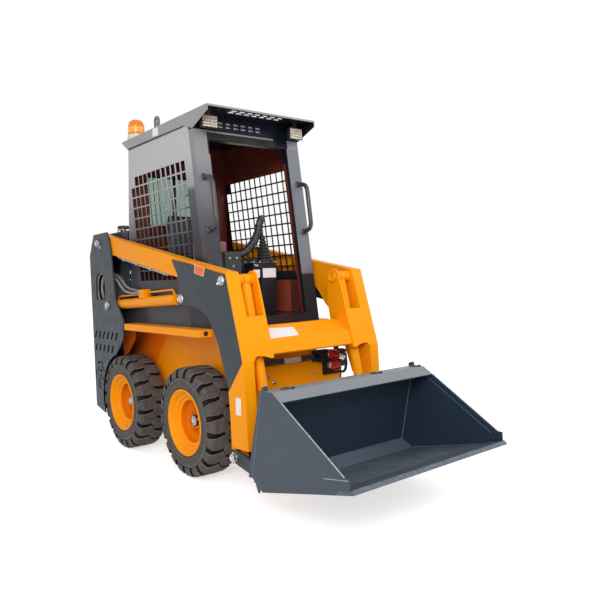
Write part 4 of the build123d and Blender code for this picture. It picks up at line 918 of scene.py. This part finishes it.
form = Form()
for z in (484, 511, 1204, 1231):
    form.bolt((-957, 358, z), (-1, 0, 0), 11, 5, 8)
form.make("door_hinge_bolts", "bare_steel", NICKEL, body="rear_door", angle=25)
form = Form()
form.block(-352, -322, 820, 920, -965, -956, "x")
form.lathe([(0, 9), (6, 9), (6.5, 7), (6.5, 0)], (-964, -337, 896), (-1, 0, 0), 20, 1)
form.tube(rounded([(-958, -337, 840), (-966.8, -337, 840), (-966.8, -337, 876), (-958, -337, 876)], 5), 3.6, 10, 1)
for i in range(14):
    z = 560 + i * 48
    form.skin([[(-957 - dx, y, z + dz) for dx, dz in ((0, 23), (5, 20), (6, 4), (4.5, 4), (3.8, 19), (0, 21))]
               for y in (-286, 286)], 2)
form.make("door_latch_and_hoods", "dark_grey_paint", "black_plastic", NICKEL, "dark_grey_paint", body="rear_door",
          angle=35)
form = Form()
for _, side in SIDES:
    y = side * 330
    form.box(-958, -955, y - 40, y + 40, 262, 322)
    form.block(y - 34, y + 34, 268, 316, -961.5, -957, "x", 1)
form.make("tail_lamps", "lamp_glass", "black_plastic", RED, bevel=1.5)

# ---- arms and their edges: painted highlights along the arm plates' edges, and painted shade in the tie-down holes
for side_name, side in SIDES:
    form = Form()
    # a pale strip along each arm plate's rear edge: painted highlight
    form.tube([(x, side * 480, z) for x, z in ((768, 942), (788, 903), (823, 834), (849, 783), (866, 745))], 3.4, 8)
    form.make(f"plate_edge_highlight_{side_name}", "pale_plastic", PALE_RIM, body="lift_arms")
    form = Form()
    # a black disc in the tie-down hole: painted shade
    form.lathe([(-0.6, 15), (0.5, 15), (1, 13), (0.6, 11.5), (0.6, 0)], (645, side * 442, 858), (1, 0, 0), 24)
    form.make(f"tie_hole_shade_{side_name}", "black_plastic", GAP)

# ---- couplers, hose and front plate
form = Form()
form.block(196, 266, 644, 716, 848, 878, "x")
form.block(240, 384, 560, 655, 848, 860, "x")
for z in (664, 700):
    form.lathe([(0, 16), (8, 16), (10, 13), (18, 13), (20, 18), (34, 18), (36, 15), (46, 15)], (863, 158, z),
               (0, 1, 0), 24)
for (x, y, z), r in (((863, 262, 686), 27), ((866, 272, 618), 24)):
    form.lathe([(-4, 15), (2, 15), (4, 20), (8, 22)], (x, y, z), (0, 1, -0.05), 24, 1)
    form.lathe([(6, r - 3), (9, r), (20, r + 1), (24, r - 2), (30, r + 1), (76, r - 1), (88, r - 5), (93, r - 12),
                (94, 0)], (x, y, z), (0, 1, -0.05), 28, 2)
    form.tube(rounded([(x + dx, y + dy, z - dz) for dx, dy, dz in
                       ((16, 10, 16), (34, 30, 34), (30, 84, 30), (10, 88, 12))], 14), 3, 8, 2)
form.lathe([(0, 20), (14, 20), (16, 24), (30, 24), (32, 18)], (862, 375, 640), (0, 0.6, 1), 6, 1)
form.make("coupler_set", "bare_steel", CONSOLE, NICKEL, RED, bevel=1.2, angle=30, replaces=["aux_couplers"])
form = Form()
form.box(792, 820, 386, 405, 600, 722)
form.box(792, 838, 386, 405, 470, 660)
form.box(800, 846, 386, 392, 440, 470)
form.box(800, 826, 404, 446, 590, 700)
form.box(806, 832, 404, 462, 630, 672)
for z in (612, 684):
    form.lathe([(0, 14), (10, 14), (12, 11), (26, 11), (28, 0)], (814, 445, z), (0, 1, 0), 16)
form.tube(rounded([(820, 404, 560), (820, 450, 548), (818, 470, 600), (818, 462, 650)], 30, 5), 9, 12)
form.make("coupler_bracket", "black_plastic", CONSOLE, bevel=2)

# ribbed hose, with a white wrap along its middle
form = Form()
route = rounded([(735, -205, 545), (775, -212, 625), (835, -185, 682), (858, -110, 679), (860, -10, 674),
                 (857, 90, 677), (863, 130, 680), (863, 158, 681)], 40, 5)
fine = [route[0]]
for start, end in zip(route, route[1:]):
    steps = max(1, round((end - start).length / 3.2))
    fine += [start.lerp(end, i / steps) for i in range(1, steps + 1)]
band = [i for i, point in enumerate(fine) if -70 < point.y < 60]
ribs = [17.6 if i % 4 < 2 else 15.2 for i in range(len(fine))]
form.tube(fine[:band[0] + 1], ribs[:band[0] + 1], 16)
form.tube(fine[band[0]:band[-1] + 1], [15.5 if i % 6 < 4 else 14 for i in range(len(band))], 16, 1)
form.tube(fine[band[-1]:], ribs[band[-1]:], 16)
form.make("wrapped_hose", "hose_rubber", "hose_rubber", BRAID, angle=60, replaces=["aux_hose"])

form = Form()
for y, z in ((-167, 597), (-126, 557), (174, 575), (340, 300), (-340, 300), (340, 520), (-340, 520)):
    form.bolt((846, y, z), (1, 0, 0), 13, 7, 12)
form.make("front_plate_bolts", "bare_steel", NICKEL, angle=25)

# ---- bucket
form = Form()
inner = [(1313, 613), (1217, 183), (1288, 141), (1800, 253)]
for _, side in SIDES:
    form.tube([(x, side * 527.5, z) for x, z in inner], 3.6, 8)
    # pale lines along the side plates' edges: painted highlight
    form.tube([(1456, side * 535, 586.5), (1868, side * 535, 335)], 3.2, 8, 1)
    form.tube([(1740, side * 537.4, 304), (1892, side * 537.4, 327.5)], 2.4, 8, 1)
    form.tube([(1201, side * 537, 185), (1302, side * 537, 620)], 2.5, 8)
    form.tube([(1402, side * 527, 583), (1838, side * 527, 318)], 1.6, 8)
for x, z in inner[1:3]:
    form.tube([(x + 2, -528, z + 1), (x + 2, 528, z + 1)], 2.2, 8)
form.tube([(1320, -528, 614), (1320, 528, 614)], 3, 8)
form.make("bucket_welds", "bucket_paint", WELD, EDGE_HIGHLIGHT, body="bucket")

form = Form()
for y, wide in ((-426, 29), (180, 25), (500, 20)):
    form.block(y - wide, y + wide, 620, 631, 1338, 1372, "x")
    form.block(y - wide + 6, y + wide - 16, 630, 632.5, 1343, 1367, "x", 1)
    form.prism([(1376, 624), (1386, 624), (1386, 632), (1376, 637)], y + wide - 14, y + wide, "y", 1)
for _, side in SIDES:
    form.prism([(1296, 612), (1330, 618), (1322, 648), (1300, 640)], side * 512, side * 534)
form.make("bucket_lip_brackets", "bucket_paint", "bucket_paint", GAP, body="bucket", bevel=1.5)
form = Form()
for _, side in SIDES:
    form.lathe([(0, 13), (30, 13), (34, 10), (44, 10), (62, 5), (64, 0)], (1222, side * 518, 172), (0.12, 0, -1), 20)
    form.box(1206, 1240, side * 518 - 14, side * 518 + 14, 160, 172)
form.make("bucket_lock_pins", "bare_steel", "worn_steel", body="bucket", bevel=1, angle=30)

# panel behind the slots over the door opening, paler than its paint as painted light through the slots
form = Form()
form.block(-222, 122, 2062, 2116, 466, 470, "x")
form.make("visor_liner", "cab_grey_paint", SLOT_PAINTED_LIGHT, bevel=0.8)
# frame bars of the rear window
form = Form()
form.block(-72, -42, 1552, 1908, -398, -390, "x")
for z in (1552, 1898):
    form.block(-258, 258, z, z + 10, -398, -390, "x")
form.make("window_bars", "black_plastic", CONSOLE, bevel=1.5)


# ---- stage, lights and camera
def for_eyes(tree):
    """1 for rays that come straight from the camera, off a mirror or through glass."""
    path = tree.nodes.new("ShaderNodeLightPath")
    total = path.outputs["Is Camera Ray"]
    for name in ("Is Glossy Ray", "Is Transmission Ray"):
        larger = tree.nodes.new("ShaderNodeMath")
        larger.operation = "MAXIMUM"
        tree.links.new(total, larger.inputs[0])
        tree.links.new(path.outputs[name], larger.inputs[1])
        total = larger.outputs["Value"]
    return total


def floor():
    mesh = bpy.data.meshes.new("floor")
    size = 30
    mesh.from_pydata([(-size, -size, 0), (size, -size, 0), (size, size, 0), (-size, size, 0)], [], [(0, 1, 2, 3)])
    piece = placed("floor", mesh)
    piece.location.z = cad_box[0].z - 0.0005
    ground = Shader("floor", (232, 232, 232), 0.9, Emission_Color=(1, 1, 1, 1))
    ground.feed(ground.math("MULTIPLY", for_eyes(ground.tree), FLOOR_GLOW), "Emission Strength")
    mesh.materials.append(ground.material)


def world():
    """White to the eye, and a softer level as light."""
    sky = bpy.data.worlds.new("studio")
    bpy.context.scene.world = sky
    sky.use_nodes = True
    tree = sky.node_tree
    level = tree.nodes.new("ShaderNodeMapRange")
    level.inputs["To Min"].default_value = SKY_LIGHT
    level.inputs["To Max"].default_value = 1.0
    tree.links.new(for_eyes(tree), level.inputs["Value"])
    tree.nodes["Background"].inputs["Color"].default_value = (1, 1, 1, 1)
    tree.links.new(level.outputs["Result"], tree.nodes["Background"].inputs["Strength"])


def lamp(name, place, target, size, power):
    light = bpy.data.lights.new(name, "AREA")
    light.shape = "DISK"
    light.size = size
    light.energy = power
    piece = placed(name, light)
    piece.location = place
    piece.rotation_euler = (Vector(target) - Vector(place)).to_track_quat("-Z", "Y").to_euler()


def camera():
    """The camera as it was fitted to the photo."""
    data = bpy.data.cameras.new("camera")
    data.lens = 37.71
    data.sensor_width = 36
    piece = placed("camera", data)
    yaw, pitch, roll = (math.radians(angle) for angle in (141.2489, -2.0873, -2.0356))
    ahead = Vector((math.cos(yaw) * math.cos(pitch), math.sin(yaw) * math.cos(pitch), math.sin(pitch)))
    right = ahead.cross(Vector((0, 0, 1))).normalized()
    up = right.cross(ahead)
    across = math.cos(roll) * right + math.sin(roll) * up
    upward = math.cos(roll) * up - math.sin(roll) * right
    facing = Matrix((across, upward, -ahead)).transposed()
    piece.matrix_world = Matrix.Translation((3.2673, -2.2392, 1.1584)) @ facing.to_4x4()
    bpy.context.scene.camera = piece


floor()
world()
lamp("key", (5.2, -4.2, 3.8), (0, 0, 0.9), 3.5, 270)
lamp("fill", (4, 4.5, 4.5), (0, 0, 0.9), 4, 100)
camera()
bpy.context.scene.view_settings.view_transform = "Standard"
